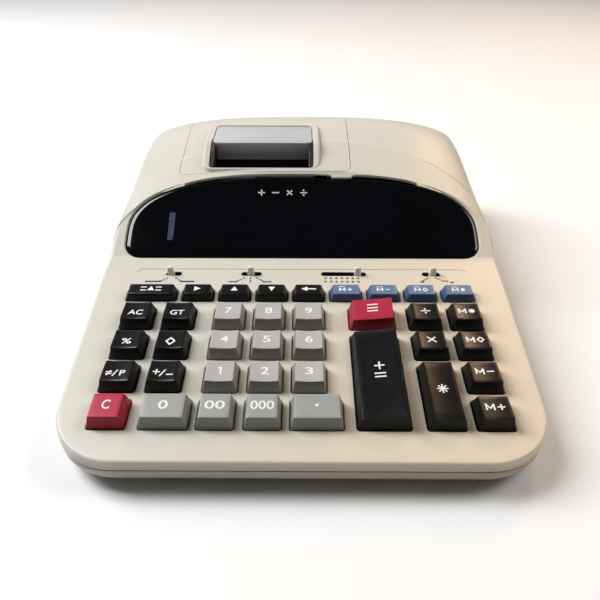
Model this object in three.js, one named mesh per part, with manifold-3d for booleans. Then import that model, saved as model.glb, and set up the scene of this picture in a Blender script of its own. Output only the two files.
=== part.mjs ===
// Desk calculator with printer: an assembly of separate pieces. Millimetres, +Z up, +Y to the rear,
// origin on the table under the middle of the case.
import * as THREE from 'three';
import { mergeVertices } from 'three/addons/utils/BufferGeometryUtils.js';
import Module from 'manifold-3d';

const wasm = await Module();
wasm.setup();

// ---------------------------------------------------------------- driving dimensions
const BODY_W = 208;            // case width
const BODY_L = 266;            // case length
const NARROWING = 3;           // how much narrower each side is at the front corners
const STRAIGHT_Y = -20;        // where the sides stop widening
const FRONT_R = 28;            // plan radius of the front corners
const REAR_R = 26;             // plan radius of the rear corners
const WALL = 2.6;              // shell thickness
const GAP = 0.35;              // clearance between neighbouring pieces
const TILT = THREE.MathUtils.degToRad(7);      // slope of the keyboard deck
const DECK_FRONT_Z = 16.4;     // height of the deck's front edge
const SPLIT_Z = 11.3;          // parting line of the two case halves
const FLOOR_Z = 3.5;           // underside of the lower case
const FLOOR_T = 2;             // thickness of the lower case's floor

// display hump, in the deck's own frame: v runs up the deck from its front edge, z square to it
const WINDOW_V = 128;          // lower edge of the display window
const WINDOW_SLOPE = THREE.MathUtils.degToRad(25);
const WINDOW_H = 53.4;         // height of the window along its slope
const WINDOW_HALF_W = 97;      // half width of the window at its widest
const WINDOW_WIDEST = 14;      // how far up the slope the window is widest
const WINDOW_POWER = 2.7;      // roundness of the window's arched top
const WINDOW_CORNER = 9;       // radius of the window's lower corners
const WINDOW_T = 1.6;          // thickness of the display window
const WINDOW_INSET = 0.8;      // how far the window lies below its rim
const BROW_POWER = 2.2;        // roundness of the brow from side to side
const REAR_POWER = 3.8;        // roundness of the rear roof, which is squarer
const REAR_POWER_V = 240;      // where the rear roof has reached it
const CROWN_EDGE = 0.15;       // height of the hump at the case sides, as a share of its middle
const CREASE_V = 209.4;        // where the brow meets the rear roof
const ROOF = [                 // middle profile of deck, window rim, brow and rear roof
  [-14, 0], [WINDOW_V, 0], [176.6, 22.7], [178.6, 24.6], [CREASE_V, 29], [210.2, 28.4], [231, 28.3],
  [246, 26.4], [256, 22.4], [263, 15.5], [267, 6.5], [268.6, -4],
];

// keyboard: columns by centre and width, rows by the front edge of their caps
const KEY_GAP = 0.4;
const KEY_TRAVEL = 2.5;
const KEY_DEPTH = 14.7;
const KEY_H = 6.4;
const KEY_SKIRT = 4.2;         // how far a cap reaches below the deck
const KEY_TAPER = 1.3;
const FLAT_KEY_DEPTH = 8.6;
const FLAT_KEY_H = 4.4;
const ROWS = [15.4, 34.45, 53.5, 72.55];
const TOP_ROW = 92.8;
const COLUMN = { a: -78.5, b: -58.8, seven: -34.7, eight: -15.6, nine: 3.4, plus: 33.5, g: 58.6, h: 78.2 };

const BLACK = 0x222224;
const GREY = 0xb4b0ac;
const RED = 0xc0405a;
const BLUE = 0x55759f;
const IVORY = 0xded5c5;

// name, column centre, front edge, width, depth, colour
const KEYS = [
  ['key_ac', COLUMN.a, ROWS[3], 15, KEY_DEPTH, BLACK],
  ['key_gt', COLUMN.b, ROWS[3], 15, KEY_DEPTH, BLACK],
  ['key_percent', COLUMN.a, ROWS[2], 15, KEY_DEPTH, BLACK],
  ['key_subtotal', COLUMN.b, ROWS[2], 15, KEY_DEPTH, BLACK],
  ['key_nonadd', COLUMN.a, ROWS[1], 15, KEY_DEPTH, BLACK],
  ['key_sign', COLUMN.b, ROWS[1], 15, KEY_DEPTH, BLACK],
  ['key_clear', COLUMN.a, ROWS[0], 15, KEY_DEPTH, RED],
  ['key_7', COLUMN.seven, ROWS[3], 14.7, KEY_DEPTH, GREY],
  ['key_8', COLUMN.eight, ROWS[3], 14.7, KEY_DEPTH, GREY],
  ['key_9', COLUMN.nine, ROWS[3], 14.7, KEY_DEPTH, GREY],
  ['key_4', COLUMN.seven, ROWS[2], 14.7, KEY_DEPTH, GREY],
  ['key_5', COLUMN.eight, ROWS[2], 14.7, KEY_DEPTH, GREY],
  ['key_6', COLUMN.nine, ROWS[2], 14.7, KEY_DEPTH, GREY],
  ['key_1', COLUMN.seven, ROWS[1], 14.7, KEY_DEPTH, GREY],
  ['key_2', COLUMN.eight, ROWS[1], 14.7, KEY_DEPTH, GREY],
  ['key_3', COLUMN.nine, ROWS[1], 14.7, KEY_DEPTH, GREY],
  ['key_0', -55.5, ROWS[0], 19.7, KEY_DEPTH, GREY],
  ['key_00', COLUMN.seven, ROWS[0], 14.9, KEY_DEPTH, GREY],
  ['key_000', COLUMN.eight, ROWS[0], 14.9, KEY_DEPTH, GREY],
  ['key_point', 6.4, ROWS[0], 21.4, KEY_DEPTH, GREY],
  ['key_minus_equals', COLUMN.plus, ROWS[3], 21.4, KEY_DEPTH, RED],
  ['key_plus_equals', COLUMN.plus, ROWS[0], 21.4, KEY_DEPTH + ROWS[2] - ROWS[0], BLACK],
  ['key_divide', COLUMN.g, ROWS[3], 15.2, KEY_DEPTH, BLACK],
  ['key_multiply', COLUMN.g, ROWS[2], 15.2, KEY_DEPTH, BLACK],
  ['key_total', COLUMN.g, ROWS[0], 15.2, KEY_DEPTH + ROWS[1] - ROWS[0], BLACK],
  ['key_memory_total', COLUMN.h, ROWS[3], 15, KEY_DEPTH, BLACK],
  ['key_memory_subtotal', COLUMN.h, ROWS[2], 15, KEY_DEPTH, BLACK],
  ['key_memory_minus', COLUMN.h, ROWS[1], 15, KEY_DEPTH, BLACK],
  ['key_memory_plus', COLUMN.h, ROWS[0], 15, KEY_DEPTH, BLACK],
  ['key_feed', -75, TOP_ROW, 24.5, FLAT_KEY_DEPTH, BLACK],
  ['key_right', -52, TOP_ROW, 15.5, FLAT_KEY_DEPTH, BLACK],
  ['key_up', -33.5, TOP_ROW, 15.5, FLAT_KEY_DEPTH, BLACK],
  ['key_down', -15, TOP_ROW, 15.5, FLAT_KEY_DEPTH, BLACK],
  ['key_correct', 3.4, TOP_ROW, 15.5, FLAT_KEY_DEPTH, BLACK],
  ['key_second_plus', 22, TOP_ROW, 15.5, FLAT_KEY_DEPTH, BLUE],
  ['key_second_minus', 40.7, TOP_ROW, 15.5, FLAT_KEY_DEPTH, BLUE],
  ['key_second_subtotal', 59.3, TOP_ROW, 15.5, FLAT_KEY_DEPTH, BLUE],
  ['key_second_total', 78, TOP_ROW, 15.5, FLAT_KEY_DEPTH, BLUE],
];

// slide switches: name, slot from, slot to, knob centre at rest
const SWITCH_V = 114.4;
const SLOT_W = 3;
const KNOB_W = 3.6;
const KNOB_H = 4.6;
const SWITCHES = [
  ['switch_power', -70.6, -63.2, -68.4],
  ['switch_round', -31.2, -21.4, -26.6],
  ['switch_decimal', 10.5, 33.2, 29.2],
  ['switch_rate', 63.2, 71.8, 68.2],
];

// printer bay and cover, in the deck's frame
const COVER_X = [-72, 28];
const COVER_V = 178.4;
const COVER_Z = 9;
const SLOT_X = [-54, 6];
const SLOT_V = [181.2, 206];
const FRAME_RIM = 4;           // width of the raised rim round the slot
const TEAR_V = [199.8, 226.6];
const TEAR_Z = 31.4;
const TEAR_SLOPE = -0.08;      // the tear bar lies nearly level with the table
const TEAR_T = 2;
const FEED = { v: 214, z: 9, r: 5.5, shaft: 2 };
const RAIL = { v: 196, z: 2, r: 2 };
const INK = { v: 188, z: 12, r: 6 };

// paper holder at the rear wall, in the table's frame
const HOLDER_X = [-58, 9];
const HOLDER_Z = [10.4, 47];
const HOLDER_DEPTH = 9.5;
const PIVOT_Z = 15.2;
const HOLDER_ARM = 26.5;
const INLET_Z = [48.4, 53];

// ---------------------------------------------------------------- solids
const REAR_Y = BODY_L / 2;
const deckToTable = new THREE.Matrix4()
  .makeTranslation(0, -REAR_Y, DECK_FRONT_Z)
  .multiply(new THREE.Matrix4().makeRotationX(TILT));
const windowToDeck = new THREE.Matrix4()
  .makeTranslation(0, WINDOW_V, 0)
  .multiply(new THREE.Matrix4().makeRotationX(WINDOW_SLOPE));
const acrossX = new THREE.Matrix4()            // sends an extrusion's x, y, depth to y, z, x
  .makeBasis(new THREE.Vector3(0, 1, 0), new THREE.Vector3(0, 0, 1), new THREE.Vector3(1, 0, 0));

function solid(geometry) {
  const bare = geometry.clone();
  for (const name of Object.keys(bare.attributes)) {
    if (name !== 'position') bare.deleteAttribute(name);
  }
  const merged = mergeVertices(bare, 1e-4);
  const mesh = new wasm.Mesh({
    numProp: 3,
    vertProperties: new Float32Array(merged.attributes.position.array),
    triVerts: new Uint32Array(merged.index.array),
  });
  return new wasm.Manifold(mesh);
}

function toGeometry(manifold) {
  const mesh = manifold.getMesh();
  const geometry = new THREE.BufferGeometry();
  geometry.setAttribute('position', new THREE.BufferAttribute(new Float32Array(mesh.vertProperties), 3));
  geometry.setIndex(new THREE.BufferAttribute(new Uint32Array(mesh.triVerts), 1));
  geometry.computeVertexNormals();
  return geometry;
}

function block(x, y, z) {                      // a box between pairs of limits
  const geometry = new THREE.BoxGeometry(x[1] - x[0], y[1] - y[0], z[1] - z[0]);
  return geometry.translate((x[0] + x[1]) / 2, (y[0] + y[1]) / 2, (z[0] + z[1]) / 2);
}

function barX(x, y, z, radius, sides) {        // a round bar along X
  const geometry = new THREE.CylinderGeometry(radius, radius, x[1] - x[0], sides);
  return geometry.rotateZ(-Math.PI / 2).translate((x[0] + x[1]) / 2, y, z);
}

function slab(points, x) {                     // a side profile of (y, z) points, extruded along X
  const shape = new THREE.Shape(points.map(([y, z]) => new THREE.Vector2(y, z)));
  const geometry = new THREE.ExtrudeGeometry(shape, { depth: x[1] - x[0], bevelEnabled: false });
  return geometry.applyMatrix4(acrossX).translate(x[0], 0, 0);
}

function planShape(inset) {                    // the case's outline seen from above
  const w = BODY_W / 2 - inset;
  const l = BODY_L / 2 - inset;
  const front = FRONT_R - inset;
  const rear = REAR_R - inset;
  const frontW = w - NARROWING;
  const shape = new THREE.Shape();
  shape.moveTo(frontW, -l + front);
  shape.lineTo(w, STRAIGHT_Y);
  shape.lineTo(w, l - rear);
  shape.absarc(w - rear, l - rear, rear, 0, Math.PI / 2);
  shape.absarc(-w + rear, l - rear, rear, Math.PI / 2, Math.PI);
  shape.lineTo(-w, STRAIGHT_Y);
  shape.lineTo(-frontW, -l + front);
  shape.absarc(-frontW + front, -l + front, front, Math.PI, Math.PI * 1.5);
  shape.absarc(frontW - front, -l + front, front, Math.PI * 1.5, Math.PI * 2);
  return shape;
}

function plan(inset, z, bevel) {
  const geometry = new THREE.ExtrudeGeometry(planShape(inset + bevel), {
    depth: z[1] - z[0] - 2 * bevel,
    bevelEnabled: bevel > 0,
    bevelSize: bevel,
    bevelThickness: bevel,
    bevelSegments: 1,
    curveSegments: 5,
  });
  return geometry.translate(0, 0, z[0] + bevel);
}

function windowShape(grow) {                   // a wide D: flat foot, round lower corners, arched top
  const w = WINDOW_HALF_W + grow;
  const top = WINDOW_H + grow;
  const r = WINDOW_CORNER + grow;
  const arch = [];
  const steps = 26;
  for (let i = 0; i <= steps; i++) {
    const a = Math.PI * i / steps;
    const c = Math.cos(a);
    const rise = Math.abs(Math.sin(a)) ** (2 / WINDOW_POWER);
    const x = w * Math.sign(c) * Math.abs(c) ** (2 / WINDOW_POWER);
    const y = WINDOW_WIDEST + (top - WINDOW_WIDEST) * rise;
    arch.push(new THREE.Vector2(x, y));
  }
  const shape = new THREE.Shape();
  shape.setFromPoints(arch);
  shape.lineTo(-w, r - grow);
  shape.absarc(-w + r, r - grow, r, Math.PI, Math.PI * 1.5);
  shape.absarc(w - r, r - grow, r, Math.PI * 1.5, Math.PI * 2);
  return shape;
}

function windowSlab(grow, z) {
  const geometry = new THREE.ExtrudeGeometry(windowShape(grow), {
    depth: z[1] - z[0], bevelEnabled: false, curveSegments: 3,
  });
  return geometry.translate(0, 0, z[0]).applyMatrix4(windowToDeck);
}

function offsetProfile(points, inward) {       // moves an open profile into the solid below it
  return points.map(([v, z], i) => {
    const before = points[Math.max(i - 1, 0)];
    const after = points[Math.min(i + 1, points.length - 1)];
    const along = new THREE.Vector2(after[0] - before[0], after[1] - before[1]).normalize();
    return [v + along.y * inward, z - Math.max(along.x, 0.2) * inward];
  });
}

function crown(x, v, halfWidth) {
  const share = Math.min(Math.abs(x) / halfWidth, 1);
  const power = THREE.MathUtils.mapLinear(
    THREE.MathUtils.clamp(v, CREASE_V, REAR_POWER_V), CREASE_V, REAR_POWER_V, BROW_POWER, REAR_POWER,
  );
  return CROWN_EDGE + (1 - CROWN_EDGE) * (1 - share ** power) ** (1 / power);
}

function roofSolid(inward) {                   // everything under the deck and the crowned hump
  const half = BODY_W / 2 - inward;
  const profile = offsetProfile(ROOF, inward);
  const last = profile[profile.length - 1];
  const points = [...profile, [last[0], -60], [profile[0][0], -60]].reverse();
  const steps = 20;
  const shape = new THREE.Shape(points.map(([v, z]) => new THREE.Vector2(v, z)));
  const geometry = new THREE.ExtrudeGeometry(shape, { depth: 1, steps, bevelEnabled: false });
  geometry.applyMatrix4(acrossX);
  const position = geometry.attributes.position;
  const fadeEnd = ROOF[ROOF.length - 2][0];
  for (let i = 0; i < position.count; i++) {
    const x = half * Math.sin((position.getX(i) - 0.5) * Math.PI);
    const v = position.getY(i);
    const z = position.getZ(i);
    position.setX(i, x);
    if (z > 0 && v > WINDOW_V) {
      const height = crown(x, v, half);
      const fade = THREE.MathUtils.clamp((fadeEnd - v) / (fadeEnd - CREASE_V), 0, 1);
      position.setY(i, v - (v - WINDOW_V) * (1 - height) * fade);
      position.setZ(i, z * height);
    }
  }
  return solid(geometry.applyMatrix4(deckToTable));
}

const onDeck = geometry => solid(geometry.applyMatrix4(deckToTable));

// ---------------------------------------------------------------- scene graph
const calculator = new THREE.Group();

function addMesh(name, manifold, color, roughness, metalness = 0) {
  const material = new THREE.MeshStandardMaterial({ color, roughness, metalness });
  const mesh = new THREE.Mesh(toGeometry(manifold), material);
  mesh.name = name;
  calculator.add(mesh);
}

// ---------------------------------------------------------------- case
function tearZ(v) {
  return TEAR_Z + (v - TEAR_V[0]) * TEAR_SLOPE;
}

function printerFrameRim() {                   // raised rim round the paper slot and the tear bar
  const x = [SLOT_X[0] - FRAME_RIM, SLOT_X[1] + FRAME_RIM];
  const frontV = SLOT_V[0] - 2;
  const rearV = TEAR_V[1] + FRAME_RIM;
  return onDeck(slab([
    [frontV, 22], [rearV, 22], [rearV, tearZ(rearV) - 0.8], [rearV - 1.5, tearZ(rearV - 1.5) + 0.5],
    [TEAR_V[0] - 1, TEAR_Z + 0.9], [TEAR_V[0] - 4, TEAR_Z - 0.4], [frontV + 1.5, 25.4], [frontV, 24],
  ], x));
}

const outerSolid = solid(plan(0, [SPLIT_Z - 6, 90], 0)).intersect(roofSolid(0));
const innerSolid = solid(plan(WALL, [SPLIT_Z - 8, 90], 0)).intersect(roofSolid(WALL));

const holderBacking = solid(block(
  [HOLDER_X[0] - WALL, HOLDER_X[1] + WALL],
  [REAR_Y - HOLDER_DEPTH - WALL, REAR_Y + 5],
  [0, HOLDER_Z[1] + WALL / 2],
));
const holderRecess = solid(block(HOLDER_X, [REAR_Y - HOLDER_DEPTH, REAR_Y + 5], HOLDER_Z));
const shell = outerSolid.subtract(innerSolid.subtract(holderBacking)).subtract(holderRecess);

function coverRegion(grow) {
  return onDeck(block(
    [COVER_X[0] - grow, COVER_X[1] + grow],
    [COVER_V - grow, 290],
    [COVER_Z - grow, 60],
  ));
}

function makeUpperCase() {
  let body = shell.subtract(solid(block([-200, 200], [-200, 200], [-10, SPLIT_Z + GAP / 2])));
  body = body.subtract(coverRegion(GAP / 2));
  const pocket = onDeck(windowSlab(0, [-WINDOW_INSET - WINDOW_T - GAP, 12]));
  const opening = onDeck(windowSlab(-4, [-14, 2]));
  body = body.subtract(pocket).subtract(opening);
  for (const [, x, front, width, depth] of KEYS) {
    const hole = block(
      [x - width / 2 - KEY_GAP, x + width / 2 + KEY_GAP],
      [front - KEY_GAP, front + depth + KEY_GAP],
      [-8, 5],
    );
    body = body.subtract(onDeck(hole));
  }
  for (const [, from, to] of SWITCHES) {
    body = body.subtract(onDeck(block([from, to], [SWITCH_V - SLOT_W / 2, SWITCH_V + SLOT_W / 2], [-8, 5])));
  }
  const inlet = block([SLOT_X[0] - 1, SLOT_X[1] + 1], [REAR_Y - 6, REAR_Y + 5], INLET_Z);
  const power = block([61.5, 82.5], [REAR_Y - 8, REAR_Y + 5], [13, 26]);
  addMesh('upper_case', body.subtract(solid(inlet)).subtract(solid(power)), IVORY, 0.5);
}

function makeLowerCase() {
  const bevel = 3;
  const below = solid(block([-200, 200], [-200, 200], [0, SPLIT_Z - GAP / 2]));
  const outside = solid(plan(0, [FLOOR_Z, 40], bevel)).intersect(below);
  const inside = solid(plan(WALL, [FLOOR_Z + FLOOR_T, 40], 0)).subtract(holderBacking);
  addMesh('lower_case', outside.subtract(inside), 0xd2c9b8, 0.55);
}

function makePrinterCover() {
  const roof = shell.intersect(coverRegion(-GAP / 2));
  const slot = onDeck(block(SLOT_X, SLOT_V, [10, 45]));
  const pocket = onDeck(slab([
    [TEAR_V[0] - 6, TEAR_Z - 3.4], [TEAR_V[0] - 0.2, tearZ(TEAR_V[0]) - TEAR_T - GAP],
    [TEAR_V[1] + GAP, tearZ(TEAR_V[1] + GAP) - TEAR_T - GAP], [TEAR_V[1] + GAP, 50], [TEAR_V[0] - 6, 50],
  ], SLOT_X));
  const cover = roof.add(printerFrameRim()).subtract(slot).subtract(pocket);
  addMesh('printer_cover', cover, IVORY, 0.5);
}

function makeTearBar() {
  const lip = 11;
  const bar = slab([
    [TEAR_V[0], TEAR_Z], [TEAR_V[0], TEAR_Z - lip], [TEAR_V[0] + TEAR_T, TEAR_Z - lip],
    [TEAR_V[0] + TEAR_T, tearZ(TEAR_V[0] + TEAR_T) - TEAR_T], [TEAR_V[1], tearZ(TEAR_V[1]) - TEAR_T],
    [TEAR_V[1], tearZ(TEAR_V[1])],
  ], [SLOT_X[0] + GAP, SLOT_X[1] - GAP]);
  addMesh('tear_bar', onDeck(bar), 0xc8c8c6, 0.35);
}

function makeDisplayWindow() {
  const panel = windowSlab(-GAP, [-WINDOW_INSET - WINDOW_T, -WINDOW_INSET]);
  addMesh('display_window', onDeck(panel), 0x080a0e, 0.08);
}

// ---------------------------------------------------------------- keys and switches
function keyCap(x, front, width, depth, height) {
  const cap = new THREE.BoxGeometry(width, depth, height + KEY_SKIRT, 1, 1, 2);
  const position = cap.attributes.position;
  for (let i = 0; i < position.count; i++) {
    if (position.getZ(i) > 1) {
      position.setX(i, position.getX(i) * (1 - 2 * KEY_TAPER / width));
      position.setY(i, position.getY(i) * (1 - 2 * KEY_TAPER / depth));
      position.setZ(i, height);
    } else {
      position.setZ(i, position.getZ(i) < -1 ? -KEY_SKIRT : 0.4);
    }
  }
  return onDeck(cap.translate(x, front + depth / 2, 0));
}

function makeKeys() {
  for (const [name, x, front, width, depth, color] of KEYS) {
    const height = front === TOP_ROW ? FLAT_KEY_H : KEY_H;
    addMesh(name, keyCap(x, front, width, depth, height), color, 0.45);
  }
}

function makeSwitches() {
  const plate = 0.8;
  for (const [name, from, to, rest] of SWITCHES) {
    const reach = Math.max(to - from, 8) / 2 + 2;
    const knob = onDeck(block(
      [rest - KNOB_W / 2, rest + KNOB_W / 2],
      [SWITCH_V - SLOT_W / 2 + 0.3, SWITCH_V + SLOT_W / 2 - 0.3],
      [-WALL - 1, KNOB_H],
    ));
    const carrier = onDeck(block(
      [rest - Math.min(reach, 5), rest + Math.min(reach, 5)],
      [SWITCH_V - 3, SWITCH_V + 3],
      [-WALL - 1 - plate, -WALL - GAP * 2],
    ));
    addMesh(name, knob.add(carrier), 0xeeeae0, 0.4);
  }
}

// ---------------------------------------------------------------- electronics
function makeElectronics() {
  const boardTop = -KEY_SKIRT - KEY_TRAVEL - 1.3;
  addMesh('main_board', onDeck(block([-92, 92], [14, 122], [boardTop - 1.5, boardTop])), 0x2f6b3a, 0.6);
  const tube = block([-70, 70], [14, 38], [-14, -7]).applyMatrix4(windowToDeck);
  addMesh('display_tube', onDeck(tube), 0x2c3a44, 0.15);
  const transformerFoot = block([46, 94], [66, 106], [FLOOR_Z + FLOOR_T + 0.3, 9]);
  const core = block([50, 90], [68, 104], [8, 38]);
  const coil = block([56, 84], [62, 110], [12, 34]);
  const transformer = solid(transformerFoot).add(solid(core)).add(solid(coil));
  addMesh('transformer', transformer, 0x70706c, 0.5, 0.6);
  const jack = solid(block([61.9, 82.1], [REAR_Y - 18, REAR_Y - 0.6], [13.4, 25.6]));
  const socket = solid(block([64.5, 79.5], [REAR_Y - 13, REAR_Y + 5], [15.6, 23.4]));
  addMesh('power_inlet', jack.subtract(socket), 0x1a1a1a, 0.5);
}

// ---------------------------------------------------------------- printer
const PLATE_X = [-62, 14];
const PLATE_T = 2;

function makePrinter() {
  const side = [[181, -29.5], [232, -29.5], [232, 6], [222, 17], [188, 19], [181, 17]];
  let frame = onDeck(block([PLATE_X[0] + 0.5, PLATE_X[1] - 0.5], [182, 231], [-29, -27.5]));
  for (const x of [PLATE_X[0], PLATE_X[1] - PLATE_T]) {
    frame = frame.add(onDeck(slab(side, [x, x + PLATE_T])));
  }
  frame = frame.add(onDeck(barX([PLATE_X[0] + 1, PLATE_X[1] - 1], RAIL.v, RAIL.z, RAIL.r, 10)));
  frame = frame.add(onDeck(block([PLATE_X[0] + 0.5, PLATE_X[1] - 0.5], [224, 226], [-28.5, 3])));
  const across = [PLATE_X[0] - 4, PLATE_X[1] + 4];
  frame = frame.subtract(onDeck(barX(across, FEED.v, FEED.z, FEED.shaft + GAP, 12)));
  frame = frame.subtract(onDeck(barX(across, INK.v, INK.z, FEED.shaft + GAP, 12)));
  addMesh('printer_frame', frame, 0x2b2b2d, 0.5, 0.3);

  let roller = onDeck(barX([PLATE_X[0] - 3, PLATE_X[1] + 3], FEED.v, FEED.z, FEED.shaft, 12));
  roller = roller.add(onDeck(barX([SLOT_X[0] + 1, SLOT_X[1] - 1], FEED.v, FEED.z, FEED.r, 16)));
  addMesh('feed_roller', roller, 0x3a3a3c, 0.8);

  let ink = onDeck(barX([PLATE_X[0] - 2, PLATE_X[1] + 2], INK.v, INK.z, FEED.shaft, 12));
  ink = ink.add(onDeck(barX([-50, -28], INK.v, INK.z, INK.r, 16)));
  addMesh('ink_roller', ink, 0x2a1f3a, 0.7);

  let head = onDeck(block([-31, -17], [189.5, 202], [-9, 4.6]));
  head = head.subtract(onDeck(barX([-40, -10], RAIL.v, RAIL.z, RAIL.r + GAP, 12)));
  addMesh('print_head', head, 0x4a4a4c, 0.6);
}

function makePaperHolder() {
  const y = REAR_Y - HOLDER_DEPTH / 2;
  const arm = [HOLDER_X[1] - 6, HOLDER_X[1] - 1];
  let holder = solid(barX([HOLDER_X[0] + 0.5, HOLDER_X[1] - 0.5], y, PIVOT_Z, 2.4, 10));
  holder = holder.add(solid(block(arm, [y - 2, y + 2], [PIVOT_Z, PIVOT_Z + HOLDER_ARM])));
  holder = holder.add(solid(barX([HOLDER_X[0] + 3, arm[1]], y, PIVOT_Z + HOLDER_ARM, 3.6, 12)));
  addMesh('paper_holder', holder, 0xcfc6b5, 0.5);
}

function makeFeet() {
  const radius = 8;
  const places = [['front_left', -80, -104], ['front_right', 80, -104], ['rear_left', -80, 104],
    ['rear_right', 80, 104]];
  for (const [name, x, y] of places) {
    const foot = new THREE.CylinderGeometry(radius, radius - 1, FLOOR_Z - 0.3, 16);
    foot.rotateX(Math.PI / 2).translate(x, y, (FLOOR_Z - 0.3) / 2);
    addMesh(`foot_${name}`, solid(foot), 0x202020, 0.9);
  }
}

makeUpperCase();
makeLowerCase();
makePrinterCover();
makeTearBar();
makeDisplayWindow();
makeKeys();
makeSwitches();
makeElectronics();
makePrinter();
makePaperHolder();
makeFeet();

export default calculator;
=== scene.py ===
import math

import bmesh
import bpy
import numpy as np
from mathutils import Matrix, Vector


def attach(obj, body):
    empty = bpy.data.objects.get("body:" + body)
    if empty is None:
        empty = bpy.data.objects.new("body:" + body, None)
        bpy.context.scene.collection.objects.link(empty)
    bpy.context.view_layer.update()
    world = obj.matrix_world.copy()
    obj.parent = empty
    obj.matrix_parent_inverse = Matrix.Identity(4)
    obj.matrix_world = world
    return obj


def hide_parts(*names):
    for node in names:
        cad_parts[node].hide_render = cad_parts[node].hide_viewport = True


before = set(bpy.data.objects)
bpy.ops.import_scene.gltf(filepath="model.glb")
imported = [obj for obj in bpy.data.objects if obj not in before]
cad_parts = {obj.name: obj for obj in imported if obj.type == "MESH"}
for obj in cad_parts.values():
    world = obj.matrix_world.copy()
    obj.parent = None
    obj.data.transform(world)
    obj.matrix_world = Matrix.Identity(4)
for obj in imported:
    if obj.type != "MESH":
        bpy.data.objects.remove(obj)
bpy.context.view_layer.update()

# ---------------------------------------------------------------- driving dimensions, in millimetres
MM = 0.001
# the case: half sizes, corner radii, thickness, and the heights of deck, split and underside
HALF_W = 104.0
HALF_L = 133.0
NARROWING = 3.0
STRAIGHT_Y = -20.0
FRONT_R = 28.0
REAR_R = 26.0
WALL = 2.6
SHELL_T = 2.3
GAP = 0.35
SHARP_ANGLE = math.radians(32)
TILT = math.radians(7)
DECK_Z = 16.4
SPLIT_Z = 11.3
FLOOR_Z = 3.5

# the display window in its own sloping plane, and the hump over it
WINDOW_V = 128.0
WINDOW_SLOPE = math.radians(25)
WINDOW_H = 53.4
WINDOW_HALF_W = 97.0
WINDOW_WIDEST = 14.0
WINDOW_POWER = 2.7
WINDOW_CORNER = 9.0
WINDOW_INSET = 0.8
WINDOW_T = 1.6
SIGNS_AT = (-11.2, 42.4)
SIGN_STROKE = 0.75
# place of the painted blue reflection on the window, across and up its slope
REFLECTION_X = (-74.2, -71.0)
REFLECTION_S = (11.4, 29)
BROW_POWER = 2.2
REAR_POWER = 3.0
REAR_POWER_V = 240.0
CROWN_EDGE = 0.15
CREASE_V = 209.4
REAR_V = 267.4
# middle profile of deck, window rim, brow and rear roof: v, z, rounding length
ROOF = [
    (0, 0, 0), (WINDOW_V, 0, 2.5), (176.2, 22.5, 0.9), (178.6, 24.8, 2.2), (CREASE_V, 29.2, 1.6),
    (211.4, 27.8, 0.9), (231, 28.1, 9), (246, 26.4, 6), (256, 22.4, 6), (263, 15.5, 5), (266.8, 7, 4),
    (267.9, 0, 3), (REAR_V, -6, 0),
]

# key caps: gap round each, skirt below the deck, taper, and the front edges of their rows
KEY_GAP = 0.45
KEY_SKIRT = 4.2
CAP_TAPER = 1.3
CAP_FOOT = 0.35
# form: height over the deck, rise toward the rear, rise toward the right, depth of the hollow
CAP_FORMS = {
    "low": (4.4, 0, 0, -0.05),
    "flat": (6.4, 0, 0, 0),
    "raised": (7.3, 1.0, 1.0, 0.3),
    "rolled": (6.2, -0.1, 1.3, 0.3),
    "dish": (6.0, -0.5, 0, 0.5),
}
LEFT_LEGEND_LIFT = -1.3
# limit of the faces that take the darker side colour, painted shade
CAP_SHADED_SIDE_LIMIT = 0.5
DEPTH = 14.7
LOW_DEPTH = 8.6
ROWS = (15.4, 34.45, 53.5, 72.55)
TOP_ROW = 92.8
COL_A, COL_B, COL_7, COL_8, COL_9, COL_PLUS, COL_G, COL_H = -78.5, -58.8, -34.7, -15.6, 3.4, 33.5, 58.6, 78.2

SWITCH_V = 114.4
SLOT_W = 3.0
SLOT_END = 0.4
KNOB_W = 3.6
CARRIER_REACH = 5.0
# name, slot from, slot to, knob centre
SWITCHES = [
    ("switch_power", -70.6, -63.2, -68.4),
    ("switch_round", -31.2, -21.4, -26.6),
    ("switch_decimal", 10.5, 33.2, 29.2),
    ("switch_rate", 63.2, 71.8, 68.2),
]

# marks round the switches: x, v and how far the dots lie from there
POSITION_DOTS = ((-67.6, 110.6, (-2.3, 2.3)), (-26.6, 110.8, (-3.4, 0, 3.4)), (67.4, 111.2, (-2.2, 2.2)))
# from x, v to x, v, width
LEADER_LINES = (
    (-70.6, 109.8, -73.2, 108.3, 0.6), (-81.0, 107.9, -72.6, 107.9, 1.1),
    (-64.6, 109.8, -62.2, 108.3, 0.6), (-62.8, 107.9, -55.4, 107.9, 1.1),
    (-31, 110, -33.6, 108.2, 0.6), (-37.6, 107.8, -33.2, 107.8, 0.9), (-26.6, 109.6, -26.6, 107.3, 0.6),
    (-22.2, 110, -19.8, 108.2, 0.6), (-20.2, 107.8, -15.6, 107.8, 0.9),
    (64.6, 110.6, 62.4, 109, 0.6), (61, 108.2, 63, 108.2, 1.1),
    (70.2, 110.6, 72.6, 109.2, 0.6), (76.4, 107.8, 78.2, 107.8, 1.0),
)
RED_LINE = (72.2, 108.8, 75.6, 108.8, 1.1)
# groove over the switches
LINE_HALF_W = 86.4
LINE_R = 3.0
LINE_V = 118.2
LINE_W = 0.5

LUG_X = (16.8, 28.6)
# stretches of the shadow gap over the window: from, to, depth
RECESSES = ((-68.0, 16.9, 1.0), (28.5, 66.0, 1.3))

# printer cover, paper slot with its rim, tear bar
COVER_X = (-72.0, 28.0)
COVER_V = 178.4
COVER_Z = 9.0
COVER_R = 5.0
BEHIND_CASE_V = 300
ABOVE_CASE_Z = 60
SLOT_X = (-54.0, 6.0)
SLOT_V = (181.2, 206.0)
RIM_V = (179.9, 230.4)
RIM_W = 3.6
RIM_R = 5.5
TEAR_V = (199.8, 226.6)
TEAR_Z = 31.4
TEAR_SLOPE = -0.08
TEAR_T = 2.0
TEAR_LIP = 11.0
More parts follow.
